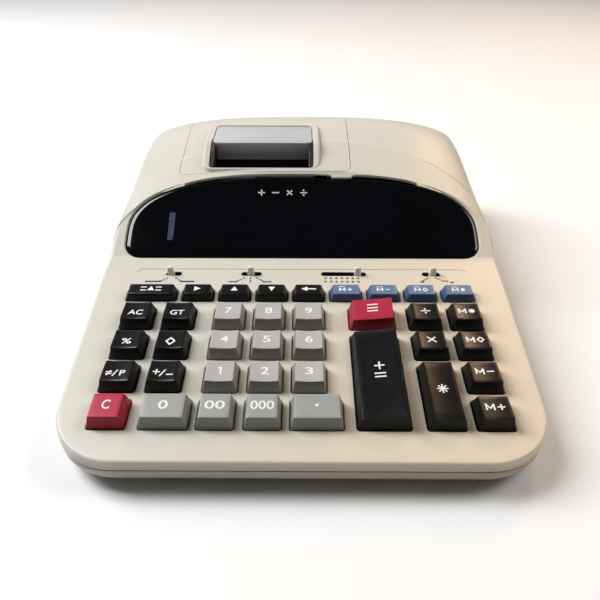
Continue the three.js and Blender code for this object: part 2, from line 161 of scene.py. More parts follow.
# rear wall: paper holder in its recess, paper inlet, power inlet
HOLDER_X = (-58.0, 9.0)
HOLDER_Z = (10.4, 47.0)
HOLDER_DEPTH = 9.5
BACKING_T = 2.4
PIVOT_Z = 15.2
HOLDER_ARM = 26.5
PAPER_INLET_Z = (48.4, 53)
INLET_X = (61.5, 82.5)
INLET_Z = (13, 26)
CAVITY_X = (64.5, 79.5)
CAVITY_Z = (15.6, 23.4)
PIN_X = (67.8, 76.2)

SCREWS = [(-62, -112), (62, -112), (-92, 40), (92, 40), (-62, 118), (30, 118)]
FOOT_X = 80
FOOT_Y = 104
# printer: plates of its frame, shafts, print head on its rail; rubber sheet under the keys
PLATE_X = (-62.0, 14.0)
SHAFT_R = 2.0
FEED_CENTRE = (214, 9)
FEED_X = (-53, 5)
FEED_R = 5.5
INK_CENTRE = (188, 12)
INK_X = (-50, -28)
INK_R = 6
HEAD_X = (-31, -17)
HEAD_V = (189.5, 202)
RAIL = (196, 2)
RAIL_BORE_R = 2.35
SHEET_X = (-90, 90)
SHEET_V = (12.5, 104)
SHEET_Z = (-7.9, -7.3)


# ---------------------------------------------------------------- frames
def deck(x, v, z):
    """A point of the tilted keyboard deck: v runs up the deck from its front edge, z square to it."""
    return (
        x,
        -HALF_L + v * math.cos(TILT) - z * math.sin(TILT),
        DECK_Z + v * math.sin(TILT) + z * math.cos(TILT),
    )


def window(x, s, z):
    """A point of the window's own plane: s runs up its slope."""
    v = WINDOW_V + s * math.cos(WINDOW_SLOPE) - z * math.sin(WINDOW_SLOPE)
    return deck(x, v, s * math.sin(WINDOW_SLOPE) + z * math.cos(WINDOW_SLOPE))


def table(x, y, z):
    return (x, y, z)


# ---------------------------------------------------------------- mesh helpers
def make(name, points, faces, place=table):
    mesh = bpy.data.meshes.new(name)
    mesh.from_pydata([tuple(c * MM for c in place(*p)) for p in points], [], faces)
    bm = bmesh.new()
    bm.from_mesh(mesh)
    bmesh.ops.remove_doubles(bm, verts=bm.verts, dist=1e-7)
    bmesh.ops.recalc_face_normals(bm, faces=bm.faces)
    bm.to_mesh(mesh)
    bm.free()
    obj = bpy.data.objects.new(name, mesh)
    bpy.context.scene.collection.objects.link(obj)
    return obj


def rings_mesh(rings):
    """Closed skin over a pile of equal rings, with the first and last ring capped."""
    count = len(rings[0])
    points = [p for ring in rings for p in ring]
    faces = [tuple(reversed(range(count)))]
    for level in range(len(rings) - 1):
        low = level * count
        for i in range(count):
            j = (i + 1) % count
            faces.append((low + i, low + j, low + count + j, low + count + i))
    last = (len(rings) - 1) * count
    faces.append(tuple(range(last, last + count)))
    return points, faces


def stack(name, rings, place=table):
    points, faces = rings_mesh(rings)
    return make(name, points, faces, place)


def apply_modifiers(obj):
    graph = bpy.context.evaluated_depsgraph_get()
    mesh = bpy.data.meshes.new_from_object(obj.evaluated_get(graph))
    old = obj.data
    obj.modifiers.clear()
    obj.data = mesh
    bpy.data.meshes.remove(old)


def boolean(obj, tool, operation):
    modifier = obj.modifiers.new("boolean", "BOOLEAN")
    modifier.operation = operation
    modifier.solver = "EXACT"
    modifier.object = tool
    apply_modifiers(obj)
    discard(tool)


def cut(obj, tool):
    boolean(obj, tool, "DIFFERENCE")


def add(obj, tool):
    boolean(obj, tool, "UNION")


def discard(obj):
    mesh = obj.data
    bpy.data.objects.remove(obj)
    bpy.data.meshes.remove(mesh)


def copy(obj, name):
    twin = obj.copy()
    twin.data = obj.data.copy()
    twin.name = name
    bpy.context.scene.collection.objects.link(twin)
    return twin


def join(name, objs):
    """One object from several, keeping each one's material on its faces."""
    bm = bmesh.new()
    materials = []
    for obj in objs:
        start = len(bm.faces)
        bm.from_mesh(obj.data)
        bm.faces.ensure_lookup_table()
        offset = len(materials)
        materials.extend(obj.data.materials)
        for face in bm.faces[start:]:
            face.material_index += offset
    mesh = bpy.data.meshes.new(name)
    bm.to_mesh(mesh)
    bm.free()
    for material in materials:
        mesh.materials.append(material)
    for obj in objs:
        discard(obj)
    joined = bpy.data.objects.new(name, mesh)
    bpy.context.scene.collection.objects.link(joined)
    return joined


def paint(obj, material):
    """One material, by its key in MATERIALS, all over a piece."""
    obj.data.materials.clear()
    obj.data.materials.append(MATERIALS[material])
    return obj


def finish_piece(obj, body, nodes, material=None):
    """Material, smooth shading, the body that carries the piece and the CAD nodes it stands for."""
    if material:
        paint(obj, material)
    obj.data.polygons.foreach_set("use_smooth", [True] * len(obj.data.polygons))
    obj.data.set_sharp_from_angle(angle=SHARP_ANGLE)
    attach(obj, body)
    if nodes:
        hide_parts(*nodes)


# ---------------------------------------------------------------- outlines
def rounded_rect(x, y, r, corner=4, side=1):
    """Points round a rectangle between pairs of limits, each straight side cut into equal parts."""
    r = max(min(r, (x[1] - x[0]) / 2 - 0.01, (y[1] - y[0]) / 2 - 0.01), 0.01)
    centres = [(x[1] - r, y[0] + r, -90), (x[1] - r, y[1] - r, 0), (x[0] + r, y[1] - r, 90),
               (x[0] + r, y[0] + r, 180)]
    arcs = []
    for cx, cy, start in centres:
        angles = [math.radians(start + 90 * i / corner) for i in range(corner + 1)]
        arcs.append([(cx + r * math.cos(a), cy + r * math.sin(a)) for a in angles])
    outline = []
    for index, arc in enumerate(arcs):
        outline.extend(arc)
        following = arcs[(index + 1) % 4][0]
        for step in range(1, side):
            t = step / side
            outline.append((arc[-1][0] + (following[0] - arc[-1][0]) * t,
                            arc[-1][1] + (following[1] - arc[-1][1]) * t))
    return outline


def at_height(outline, z):
    if callable(z):
        return [(x, y, z(x, y)) for x, y in outline]
    return [(x, y, z) for x, y in outline]


def circle(cx, cy, r, count=24):
    return [(cx + r * math.cos(2 * math.pi * i / count), cy + r * math.sin(2 * math.pi * i / count))
            for i in range(count)]


def turned(name, centre, sections, place=table, count=28):
    """A round piece along X: sections are (x, radius) pairs."""
    rings = [[(x, centre[0] + r * math.cos(2 * math.pi * i / count),
               centre[1] + r * math.sin(2 * math.pi * i / count)) for i in range(count)]
             for x, r in sections]
    return stack(name, rings, place)


def post(name, centre, sections, place=table, count=28):
    """A round piece along Z: sections are (z, radius) pairs."""
    return stack(name, [at_height(circle(*centre, r, count), z) for z, r in sections], place)


def prism(name, outline, z, place=table):
    return stack(name, [at_height(outline, z[0]), at_height(outline, z[1])], place)


def block(name, x, y, r, levels, place=table, side=1):
    """A block with rounded upright edges: levels are (height, inset) pairs from one end to the other."""
    rings = []
    for z, inset in levels:
        outline = rounded_rect((x[0] + inset, x[1] - inset), (y[0] + inset, y[1] - inset), r, 4, side)
        rings.append(at_height(outline, z))
    return stack(name, rings, place)


def half_width(y, inset=0.0):
    """Half width of the case's outline at y."""
    w, front_r, rear_r, end = HALF_W - inset, FRONT_R - inset, REAR_R - inset, HALF_L - inset
    front_w = w - NARROWING
    if y < -end + front_r:
        return front_w - front_r + math.sqrt(max(front_r ** 2 - (y + end - front_r) ** 2, 0))
    if y < STRAIGHT_Y:
        return front_w + NARROWING * (y + end - front_r) / (STRAIGHT_Y + end - front_r)
    if y > end - rear_r:
        return w - rear_r + math.sqrt(max(rear_r ** 2 - (y - end + rear_r) ** 2, 0))
    return w


def case_outline(inset, arc=8):
    """The case's outline seen from above."""
    end = HALF_L - inset
    quarter = [math.pi / 2 * i / arc for i in range(arc + 1)]
    ys = [-end + (FRONT_R - inset) * (1 - math.cos(a)) for a in quarter]
    ys.append(STRAIGHT_Y)
    ys += [end - (REAR_R - inset) * (1 - math.sin(a)) for a in quarter]
    right = [(half_width(y, inset), y) for y in ys]
    return right + [(-x, y) for x, y in reversed(right)]


def edge_distance(x, y):
    """How far inside the case's outline a point lies, and how much of that edge is rounded."""
    side = abs(x)
    front_centre = (HALF_W - NARROWING - FRONT_R, -HALF_L + FRONT_R)
    rear_centre = (HALF_W - REAR_R, HALF_L - REAR_R)
    if y < front_centre[1] and side > front_centre[0]:
        return FRONT_R - math.hypot(side - front_centre[0], y - front_centre[1]), 1.0
    if y > rear_centre[1]:
        across, back = side - rear_centre[0], y - rear_centre[1]
        if across > 0:
            reach = math.hypot(across, back)
            return REAR_R - reach, across / max(reach, 0.01)
        return HALF_W, 0.0
    return min(half_width(y) - side, y + HALF_L), 1.0


# ---------------------------------------------------------------- upper case skin
def rounded_profile(points, steps=4):
    """The roof profile with each corner replaced by a short curve."""
    line = [points[0][:2]]
    for before, here, after in zip(points, points[1:], points[2:]):
        corner = np.array(here[:2], float)
        start = np.array(before[:2], float) - corner
        end = np.array(after[:2], float) - corner
        back = min(here[2], 0.42 * np.linalg.norm(start))
        ahead = min(here[2], 0.42 * np.linalg.norm(end))
        first = corner + start / np.linalg.norm(start) * back
        last = corner + end / np.linalg.norm(end) * ahead
        for i in range(steps + 1):
            t = i / steps
            point = first * (1 - t) ** 2 + corner * 2 * t * (1 - t) + last * t ** 2
            line.append(tuple(point))
    line.append(points[-1][:2])
    return line


def spaced(line, front_steps):
    """The profile with long stretches split: finely near the front edge and on the hump."""
    result = [line[0]]
    for (v0, z0), (v1, z1) in zip(line, line[1:]):
        longest = 5.0 if v1 <= WINDOW_V else 2.2
        length = math.hypot(v1 - v0, z1 - z0)
        count = max(1, math.ceil(length / longest))
        shares = [i / count for i in range(1, count + 1)]
        if v0 == 0:
            shares = sorted(set(shares) | {d / length for d in front_steps})
        for t in shares:
            result.append((v0 + (v1 - v0) * t, z0 + (z1 - z0) * t))
    return result


def crown(share, v):
    """How much of the middle height is left at a share of the way to the side."""
    blend = min(max((v - CREASE_V) / (REAR_POWER_V - CREASE_V), 0), 1)
    power = BROW_POWER + (REAR_POWER - BROW_POWER) * blend
    return CROWN_EDGE + (1 - CROWN_EDGE) * max(1 - share ** power, 0) ** (1 / power)


def roof_point(share, v, z):
    """A point of the deck or the crowned hump, share being its place from the middle to the side."""
    if z > 0 and v > WINDOW_V:
        height = crown(abs(share), v)
        fade = min(max((REAR_V - v) / (REAR_V - CREASE_V), 0), 1)
        v = v - (v - WINDOW_V) * (1 - height) * fade
        z = z * height
    return deck(0, v, z)


# distances from the side and from the front edge where the skin has points
EDGE_STEPS = (0, 0.1, 0.35, 0.8, 1.5, 2.4, 3.6, 5, 6.8, 9, 11.5, 15, 20, 26, 34, 44, 56, 70, 86, 104)
COARSE_EDGE_STEPS = (0, 1.5, 5, 11.5, 20, 34, 56, 86, 104)
FRONT_STEPS = (0.1, 0.3, 0.6, 1.0, 1.6, 2.4, 3.6, 5.2, 7.5, 10.5, 14, 18, 23, 28, 34)
DECK_EDGE_R = 1.2
HUMP_EDGE_GROWTH = 7.3
LEAST_SKIRT = 1.2
SHRINK_IN_HEIGHT = 1.02


def edge_radius(y):
    """Radius of the rounded edge: small round the deck, larger along the hump's sides."""
    t = min(max((y + 10) / 70, 0), 1)
    return DECK_EDGE_R + HUMP_EDGE_GROWTH * t * t * (3 - 2 * t)


def edge_drop(x, y):
    """How far the rounded edge lies under the roof at a place."""
    distance, weight = edge_distance(x, y)
    radius = edge_radius(y)
    if distance >= radius:
        return 0.0
    return (radius - math.sqrt(max(radius ** 2 - (radius - distance) ** 2, 0))) * weight


def roof_points(line, shares, inset, bottom):
    """The roof's points, one row for each point of the profile, shrunk by inset."""
    end = HALF_L - inset
    points = []
    for v, z in line:
        for share in shares:
            y, height = roof_point(share, v, z)[1:]
            y = min(max(y, -HALF_L), HALF_L)
            if inset:
                y = y * end / HALF_L
                x = share * half_width(y, inset)
                height -= inset * SHRINK_IN_HEIGHT
            else:
                x = share * half_width(y)
                height -= edge_drop(x, y)
            points.append((x, y, max(height, bottom + LEAST_SKIRT)))
    return points


def border(rows, columns):
    """Indices of the points round the border of a grid."""
    last = (rows - 1) * columns
    return (list(range(columns)) + [r * columns + columns - 1 for r in range(1, rows)]
            + list(range(last + columns - 2, last - 1, -1)) + [r * columns for r in range(rows - 2, 0, -1)])


def roof_body(name, inset, bottom, fine=True):
    """Everything under the roof, as a closed body, shrunk by inset."""
    line = spaced(rounded_profile(ROOF), FRONT_STEPS) if fine else rounded_profile(ROOF, 2)
    steps = EDGE_STEPS if fine else COARSE_EDGE_STEPS
    shares = [-(1 - d / HALF_W) for d in steps] + [1 - d / HALF_W for d in reversed(steps[:-1])]
    points = roof_points(line, shares, inset, bottom)
    rows, columns = len(line), len(shares)
    faces = [(i, i + 1, i + columns + 1, i + columns)
             for r in range(rows - 1) for i in range(r * columns, (r + 1) * columns - 1)]
    loop = border(rows, columns)
    count = len(loop)
    above = loop
    for z, pull in ([(bottom + 0.5, 0.0), (bottom, 0.45)] if fine else [(bottom, 0.0)]):
        ring = list(range(len(points), len(points) + count))
        for index in loop:
            x, y = points[index][:2]
            points.append((x * (1 - pull / HALF_W), y * (1 - pull / HALF_L), z))
        faces += [(above[i], ring[i], ring[(i + 1) % count], above[(i + 1) % count]) for i in range(count)]
        above = ring
    faces.append(tuple(above))
    return make(name, points, faces)


# ---------------------------------------------------------------- window outline
def window_outline(grow, arch=40, corner=5):
    """A wide D: flat foot, round lower corners and an arched top."""
    w, top, r = WINDOW_HALF_W + grow, WINDOW_H + grow, WINDOW_CORNER + grow
    outline = []
    for i in range(arch + 1):
        a = math.pi * i / arch
        across = math.copysign(abs(math.cos(a)) ** (2 / WINDOW_POWER), math.cos(a))
        rise = abs(math.sin(a)) ** (2 / WINDOW_POWER)
        outline.append((w * across, WINDOW_WIDEST + (top - WINDOW_WIDEST) * rise))
    for cx, start in ((-w + r, 180), (w - r, 270)):
        for i in range(corner + 1):
            a = math.radians(start + 90 * i / corner)
            outline.append((cx + r * math.cos(a), r - grow + r * math.sin(a)))
    return outline


# ---------------------------------------------------------------- keys: plan and legends
def dished(names, legends, columns, rows, width, finish):
    """Square dished caps of one size, row by row from the rear."""
    places = [(x, front) for front in rows for x in columns]
    return [(name, x, front, width, DEPTH, finish, "dish", legend)
            for name, legend, (x, front) in zip(names, legends, places)]


def low_caps(finish, caps):
    """Flat caps of the top row."""
    return [(f"key_{name}", x, TOP_ROW, width, LOW_DEPTH, finish, "low", legend)
            for name, x, width, legend in caps]


# name, column centre, front edge, width, depth, finish, form, legend
UPPER_ROWS = ROWS[:0:-1]
KEYS = [
    *dished(("key_ac", "key_gt", "key_percent", "key_subtotal", "key_nonadd", "key_sign"),
            ("AC", "GT", "%", "diamond", "nonadd", "sign"), (COL_A, COL_B), UPPER_ROWS, 15, "black"),
    ("key_clear", COL_A, ROWS[0], 15, DEPTH, "red", "flat", "C"),
    *dished([f"key_{digit}" for digit in "789456123"], "789456123", (COL_7, COL_8, COL_9), UPPER_ROWS,
            14.7, "grey"),
    ("key_0", -55.5, ROWS[0], 19.7, DEPTH, "grey", "flat", "0"),
    ("key_00", COL_7, ROWS[0], 14.9, DEPTH, "grey", "flat", "00"),
    ("key_000", COL_8, ROWS[0], 14.9, DEPTH, "grey", "flat", "000"),
    ("key_point", 6.4, ROWS[0], 21.4, DEPTH, "grey", "flat", "dot"),
    ("key_minus_equals", COL_PLUS, ROWS[3], 21.4, DEPTH, "red", "raised", "minus_equals"),
    ("key_plus_equals", COL_PLUS, ROWS[0], 21.4, DEPTH + ROWS[2] - ROWS[0], "black", "rolled", "plus_equals"),
    *dished(("key_divide", "key_multiply"), ("divide", "multiply"), (COL_G,), UPPER_ROWS, 15.2, "black"),
    ("key_total", COL_G, ROWS[0], 15.2, DEPTH + ROWS[1] - ROWS[0], "black", "dish", "star"),
    *dished(("key_memory_total", "key_memory_subtotal", "key_memory_minus", "key_memory_plus"),
            ("M star", "M diamond", "M minus", "M plus"), (COL_H,), ROWS[::-1], 15, "black"),
    *low_caps("black", (("feed", -75, 24.5, "feed"), ("right", -52, 15.5, "right"), ("up", -33.5, 15.5, "up"),
                        ("down", -15, 15.5, "down"), ("correct", 3.4, 15.5, "back"))),
    *low_caps("blue", (("second_plus", 22, 15.5, "MM plus"), ("second_minus", 40.7, 15.5, "MM minus"),
                       ("second_subtotal", 59.3, 15.5, "MM diamond"), ("second_total", 78, 15.5, "MM star"))),
]


# Flat shapes are (points, faces): each point is (x, y, side), side 1 on the face and 0 underneath.
def plate(outline):
    count = len(outline)
    points = [(x, y, 1) for x, y in outline] + [(x, y, 0) for x, y in outline]
    faces = [tuple(range(count)), tuple(range(2 * count - 1, count - 1, -1))]
    faces += [(i, count + i, count + (i + 1) % count, (i + 1) % count) for i in range(count)]
    return points, faces


def bar(x0, y0, x1, y1, width):
    length = math.hypot(x1 - x0, y1 - y0)
    nx, ny = -(y1 - y0) / length * width / 2, (x1 - x0) / length * width / 2
    return plate([(x0 - nx, y0 - ny), (x1 - nx, y1 - ny), (x1 + nx, y1 + ny), (x0 + nx, y0 + ny)])


def dot(x, y, r, count=14):
    return plate(circle(x, y, r, count))


def together(shapes):
    points, faces = [], []
    for shape_points, shape_faces in shapes:
        start = len(points)
        points.extend(shape_points)
        faces.extend(tuple(start + i for i in face) for face in shape_faces)
    return points, faces


def moved(shape, dx, dy):
    return [(x + dx, y + dy, side) for x, y, side in shape[0]], shape[1]


def lettering(text, width, height):
    """Generic characters as a flat shape of that size, centred on the origin."""
    curve = bpy.data.curves.new("lettering", "FONT")
    curve.body = text
    curve.extrude = 0.01
    curve.offset = 0.014
    curve.resolution_u = 4
    obj = bpy.data.objects.new("lettering", curve)
    bpy.context.scene.collection.objects.link(obj)
    mesh = bpy.data.meshes.new_from_object(obj.evaluated_get(bpy.context.evaluated_depsgraph_get()))
    bm = bmesh.new()
    bm.from_mesh(mesh)
    bmesh.ops.remove_doubles(bm, verts=bm.verts, dist=1e-5)
    bm.verts.ensure_lookup_table()
    co = np.array([v.co for v in bm.verts])
    low, high = co.min(0), co.max(0)
    scale = (width / (high[0] - low[0]), height / (high[1] - low[1]))
    middle = (low + high) / 2
    points = [((x - middle[0]) * scale[0], (y - middle[1]) * scale[1], 1 if z > 0 else 0) for x, y, z in co]
    faces = [tuple(v.index for v in face.verts) for face in bm.faces]
    bm.free()
    bpy.data.objects.remove(obj)
    bpy.data.curves.remove(curve)
    bpy.data.meshes.remove(mesh)
    return points, faces


def diamond(size, stroke):
    corners = [(size, 0), (0, size * 1.15), (-size, 0), (0, -size * 1.15)]
    return together([bar(*corners[i], *corners[(i + 1) % 4], stroke) for i in range(4)]
                    + [dot(*corner, stroke / 2, 8) for corner in corners])


def star(size, stroke, arms=4):
    return together([bar(-size * math.cos(math.pi * i / arms), -size * math.sin(math.pi * i / arms),
                         size * math.cos(math.pi * i / arms), size * math.sin(math.pi * i / arms), stroke)
                     for i in range(arms)])


def plus(size, stroke):
    return together([bar(-size, 0, size, 0, stroke), bar(0, -size, 0, size, stroke)])


def minus(size, stroke):
    return bar(-size, 0, size, 0, stroke)


def arrow(degrees, size):
    a = math.radians(degrees)
    corners = [(size, 0), (-size * 0.85, size), (-size * 0.85, -size)]
    return plate([(x * math.cos(a) - y * math.sin(a), x * math.sin(a) + y * math.cos(a)) for x, y in corners])


def letter_m(width, height, stroke):
    w, h = width / 2 - stroke / 2, height / 2
    return together([bar(-w, -h, -w, h, stroke), bar(w, -h, w, h, stroke),
                     bar(-w, h - stroke * 0.5, 0, -h * 0.45, stroke * 0.9),
                     bar(w, h - stroke * 0.5, 0, -h * 0.45, stroke * 0.9)])


def figure_one():
    return together([bar(0.3, -2.2, 0.3, 2.2, 0.8), bar(-0.95, 1.25, 0.2, 1.95, 0.62)])


def legend_shape(name):
    signs = {"plus": plus, "minus": minus, "diamond": diamond, "star": star}
    if name.startswith("MM "):
        sign = signs[name[3:]](1.15, 0.55)
        letter = moved(letter_m(3.2, 2.7, 0.6), -1.9, -0.3)
        return together([letter, bar(-3.4, 1.75, -0.4, 1.75, 0.42), moved(sign, 1.9, -0.3)])
    if name.startswith("M "):
        size = 1.55 if name != "M diamond" else 1.4
        sign = signs[name[2:]](size, 0.62)
        return together([moved(letter_m(3.9, 3.5, 0.72), -2.2, 0), moved(sign, 2.3, 0)])
    shapes = {
        "diamond": lambda: diamond(1.9, 0.75),
        "nonadd": lambda: together([bar(-4.6, 0.5, -2, 0.5, 0.55), bar(-4.6, -0.6, -2, -0.6, 0.55),
                                    bar(-4.1, -1.6, -2.5, 1.5, 0.5), bar(-1.5, -1.9, 0.1, 1.9, 0.6),
                                    moved(lettering("P", 2.4, 3.2), 2.5, 0)]),
        "sign": lambda: together([moved(plus(1.5, 0.65), -2.9, 0.7), bar(-1.2, -1.9, 0.8, 2.1, 0.6),
                                  moved(minus(1.5, 0.65), 3, -0.9)]),
        "dot": lambda: dot(0, 0, 0.72, 20),
        "minus_equals": lambda: together([bar(-2.5, y, 2.5, y, 0.75) for y in (2.1, 0.1, -1.7)]),
        "plus_equals": lambda: together([moved(plus(2.2, 0.72), 0, 2.9), bar(-2.4, -1.5, 2.4, -1.5, 0.72),
                                         bar(-2.4, -3.4, 2.4, -3.4, 0.72)]),
        "divide": lambda: together([minus(2.3, 0.7), dot(0, 1.5, 0.55), dot(0, -1.5, 0.55)]),
        "multiply": lambda: together([bar(-1.9, -1.7, 1.9, 1.7, 0.7), bar(-1.9, 1.7, 1.9, -1.7, 0.7)]),
        "star": lambda: star(2.4, 0.62),
        "feed": lambda: together([arrow(90, 1.75)] + [bar(start, y, end, y, 0.7) for y in (-1.3, 1.0)
                                                      for start, end in ((-5.2, -2.3), (2.3, 5.2))]),
        "right": lambda: arrow(0, 1.8),
        "up": lambda: arrow(90, 1.75),
        "down": lambda: arrow(-90, 1.75),
        "back": lambda: together([moved(arrow(180, 1.7), -2.0, 0), bar(-1.4, 0, 3.8, 0, 0.85)]),
        "1": figure_one,
    }
    if name in shapes:
        return shapes[name]()
    widths = {"C": 3.3, "%": 4.4, "0": 3.9, "00": 8.2, "000": 9.6, "AC": 6.9, "GT": 6.6}
    heights = {"0": 4.4, "00": 4.2, "000": 4.4, "C": 4.6, "%": 3.6, "AC": 3.5, "GT": 3.5}
    return lettering(name, widths.get(name, 3.4), heights.get(name, 4.4))


# ---------------------------------------------------------------- key caps
def cap_top(form, x, front, width, depth):
    """Height of a cap's top over the deck, as a function of place."""
    middle_y = front + depth / 2
    half_x = width / 2 - CAP_TAPER
    level, rise, lean, hollow = CAP_FORMS[form]

    def height(px, py):
        along = (py - middle_y) / (depth / 2)
        across = (px - x) / half_x
        bowl = min(across ** 2, 1.2) if form == "dish" else across ** 2
        return level + rise * along + lean * across - hollow * (1 - bowl)

    return height


def key_cap(name, x, front, width, depth, form):
    top = cap_top(form, x, front, width, depth)
    ahead, back = (0.5, 0.8) if form == "low" else (1.0, 1.5)
    bevel = 0.42 if form == "flat" else 0.22

    def level(inset, share=1.0):
        """The cap's outline, share being how much of the taper is reached."""
        taper = CAP_TAPER * share
        limits_x = (x - width / 2 + taper + inset, x + width / 2 - taper - inset)
        limits_y = (front + ahead * share + inset, front + depth - back * share - inset)
        return rounded_rect(limits_x, limits_y, 0.9 - 0.3 * share, 4, 6)

    rings = [at_height(level(0, 0), -KEY_SKIRT), at_height(level(0, 0), CAP_FOOT)]
    for share in (0.5, 0.9):
        rings.append(at_height(level(0, share),
                               lambda px, py, s=share: CAP_FOOT + (top(px, py) - CAP_FOOT) * s * 0.96))
    edge = ((0.02, bevel * 0.9), (bevel * 0.3, bevel * 0.35), (bevel * 0.9, 0.05), (bevel * 1.5, 0))
    for inset, drop in edge:
        rings.append(at_height(level(inset), lambda px, py, d=drop: top(px, py) - d))
    cx, cy = x, front + ahead + (depth - ahead - back) / 2
    rim = level(bevel * 1.5)
    for shrink in (0.8, 0.6, 0.4, 0.2, 0.04):
        ring = [(cx + (px - cx) * shrink, cy + (py - cy) * shrink) for px, py in rim]
        rings.append(at_height(ring, top))
    return stack(name, rings, deck), top, (cx, cy)


def on_surface(name, shape, surface, place, relief=0.03, depth=0.25):
    """A flat shape laid on a surface with a slight relief."""
    points = [(x, y, surface(x, y) + (relief if side else -depth)) for x, y, side in shape[0]]
    return make(name, points, shape[1], place)


# ---------------------------------------------------------------- materials
def srgb(r, g, b):
    """Linear colour from 0-255 screen values."""
    linear = []
    for value in (r, g, b):
        c = value / 255
        linear.append(c / 12.92 if c <= 0.04045 else ((c + 0.055) / 1.055) ** 2.4)
    return (*linear, 1)


GRAIN_HEIGHT = 0.0002


class Nodes:
    """Small helper that builds one procedural material."""

    def __init__(self, name):
        self.material = bpy.data.materials.new(name)
        self.material.use_nodes = True
        self.tree = self.material.node_tree
        self.shader = self.tree.nodes["Principled BSDF"]
        self.place = self.node("ShaderNodeTexCoord")["Object"]

    def link(self, source, target):
        self.tree.links.new(source, target)

    def node(self, kind, operation=None, **inputs):
        """The outputs of a new node; an input is a value or the output that feeds it."""
        node = self.tree.nodes.new(kind)
        if operation:
            node.operation = operation
        for name, value in inputs.items():
            socket = node.inputs[name.replace("_", " ")]
            if isinstance(value, bpy.types.NodeSocket):
                self.link(value, socket)
            else:
                socket.default_value = value
        return node.outputs

    def noise(self, scale, detail=3.0, stretch=None):
        source = self.place
        if stretch:
            source = self.node("ShaderNodeMapping", Scale=stretch, Vector=source)["Vector"]
        return self.node("ShaderNodeTexNoise", Scale=scale, Detail=detail, Vector=source)["Fac"]

    def ramp(self, factor, low, high, start=0.35, end=0.65):
        node = self.tree.nodes.new("ShaderNodeValToRGB")
        node.color_ramp.elements[0].position = start
        node.color_ramp.elements[0].color = low
        node.color_ramp.elements[1].position = end
        node.color_ramp.elements[1].color = high
        self.link(factor, node.inputs["Fac"])
        return node.outputs["Color"]

    def span(self, factor, low, high):
        """The middle of a noise's range, stretched between two values."""
        return self.node("ShaderNodeMapRange", Value=factor, From_Min=0.3, From_Max=0.7,
                         To_Min=low, To_Max=high)["Result"]

    def color(self, source):
        self.link(source, self.shader.inputs["Base Color"])

    def gloss(self, factor, low, high):
        self.link(self.span(factor, low, high), self.shader.inputs["Roughness"])

    def bump(self, height, strength, distance):
        relief = self.node("ShaderNodeBump", Height=height, Strength=strength, Distance=distance)
        self.link(relief["Normal"], self.shader.inputs["Normal"])

    def skin(self, rough, spread, patches, grain, strength):
        """Uneven gloss and a fine moulded grain."""
        self.gloss(self.noise(patches, 5), rough - spread, rough + spread)
        self.bump(self.noise(grain, 2), strength, GRAIN_HEIGHT)

    def set(self, **values):
        names = {"metallic": "Metallic", "coat": "Coat Weight", "coat_rough": "Coat Roughness",
                 "specular": "Specular IOR Level", "subsurface": "Subsurface Weight", "ior": "IOR"}
        for key, value in values.items():
            self.shader.inputs[names[key]].default_value = value
        return self


def shade(color, amount):
    return tuple(min(c * amount, 1) for c in color[:3]) + (1,)


def moulded(name, color, rough=0.4, grain=1800, strength=0.12, vary=0.04, patches=28, spread=0.06, **values):
    """Moulded plastic: slow colour patches, fine grain in the gloss and in the relief."""
    n = Nodes(name)
    n.color(n.ramp(n.noise(patches, 4), shade(color, 1 - vary), shade(color, 1 + vary)))
    n.skin(rough, spread, patches * 3, grain, strength)
    return n.set(**values).material


def painted_warm_light_and_shade(name, color, warm, rough):
    """Case plastic with painted warm light toward its front right corner, and painted shade that darkens it
    close to the table.
    """
    n = Nodes(name)
    # painted warm light: the colour turns warmer toward the front right corner, with slow random patches
    along = n.tree.nodes.new("ShaderNodeVectorMath")
    along.operation = "DOT_PRODUCT"
    n.link(n.place, along.inputs[0])
    along.inputs[1].default_value = (1.0, -0.5, 0.0)
    share = n.node("ShaderNodeMapRange", Value=along.outputs["Value"], From_Max=PAINTED_WARM_REACH, To_Max=0.85)
    blend = n.tree.nodes.new("ShaderNodeMath")
    blend.operation = "MULTIPLY_ADD"
    n.link(n.noise(14, 4), blend.inputs[0])
    blend.inputs[1].default_value = 0.15
    n.link(share["Result"], blend.inputs[2])
    # painted shade: the colour darkens toward the table
    height = n.node("ShaderNodeSeparateXYZ", Vector=n.place)["Z"]
    painted_shade_factor = n.node("ShaderNodeMapRange", Value=height, From_Min=PAINTED_SHADE_HEIGHT[0], From_Max=PAINTED_SHADE_HEIGHT[1],
                   To_Min=PAINTED_SHADE_DARKEST)
    painted_warm_color = n.ramp(blend.outputs["Value"], color, warm, 0.05, 0.95)
    n.color(n.node("ShaderNodeVectorMath", "SCALE", Vector=painted_warm_color, Scale=painted_shade_factor["Result"])["Vector"])
    n.skin(rough, 0.06, 42, 2400, 0.1)
    return n.set(specular=0.35).material


def metal(name, color, rough=0.35):
    n = Nodes(name)
    n.color(n.ramp(n.noise(60, 4), shade(color, 0.9), shade(color, 1.08)))
    brushed = n.noise(400, 3, (1, 14, 14))
    n.gloss(brushed, rough - 0.08, rough + 0.1)
    n.bump(brushed, 0.08, 0.0001)
    return n.set(metallic=1.0).material


def circuit(name):
    """Green board with paler copper runs under the lacquer."""
    n = Nodes(name)
    cells = n.node("ShaderNodeTexBrick", Vector=n.place, Scale=140, Mortar_Size=0.04, Color1=srgb(38, 92, 52),
                   Color2=srgb(30, 80, 46), Mortar=srgb(84, 138, 84))
    n.color(cells["Color"])
    n.gloss(n.noise(90, 4), 0.3, 0.5)
    n.bump(cells["Fac"], 0.2, GRAIN_HEIGHT)
    return n.material


def laminated(name):
    """Transformer core: thin steel sheets seen on edge, with lacquer patches."""
    n = Nodes(name)
    sheets = n.node("ShaderNodeTexWave", Vector=n.place, Scale=260, Distortion=0.6)["Fac"]
    n.color(n.ramp(sheets, srgb(92, 92, 90), srgb(140, 138, 132), 0.2, 0.8))
    n.gloss(n.noise(50, 4), 0.35, 0.55)
    n.bump(sheets, 0.3, 0.0003)
    return n.set(metallic=0.7).material
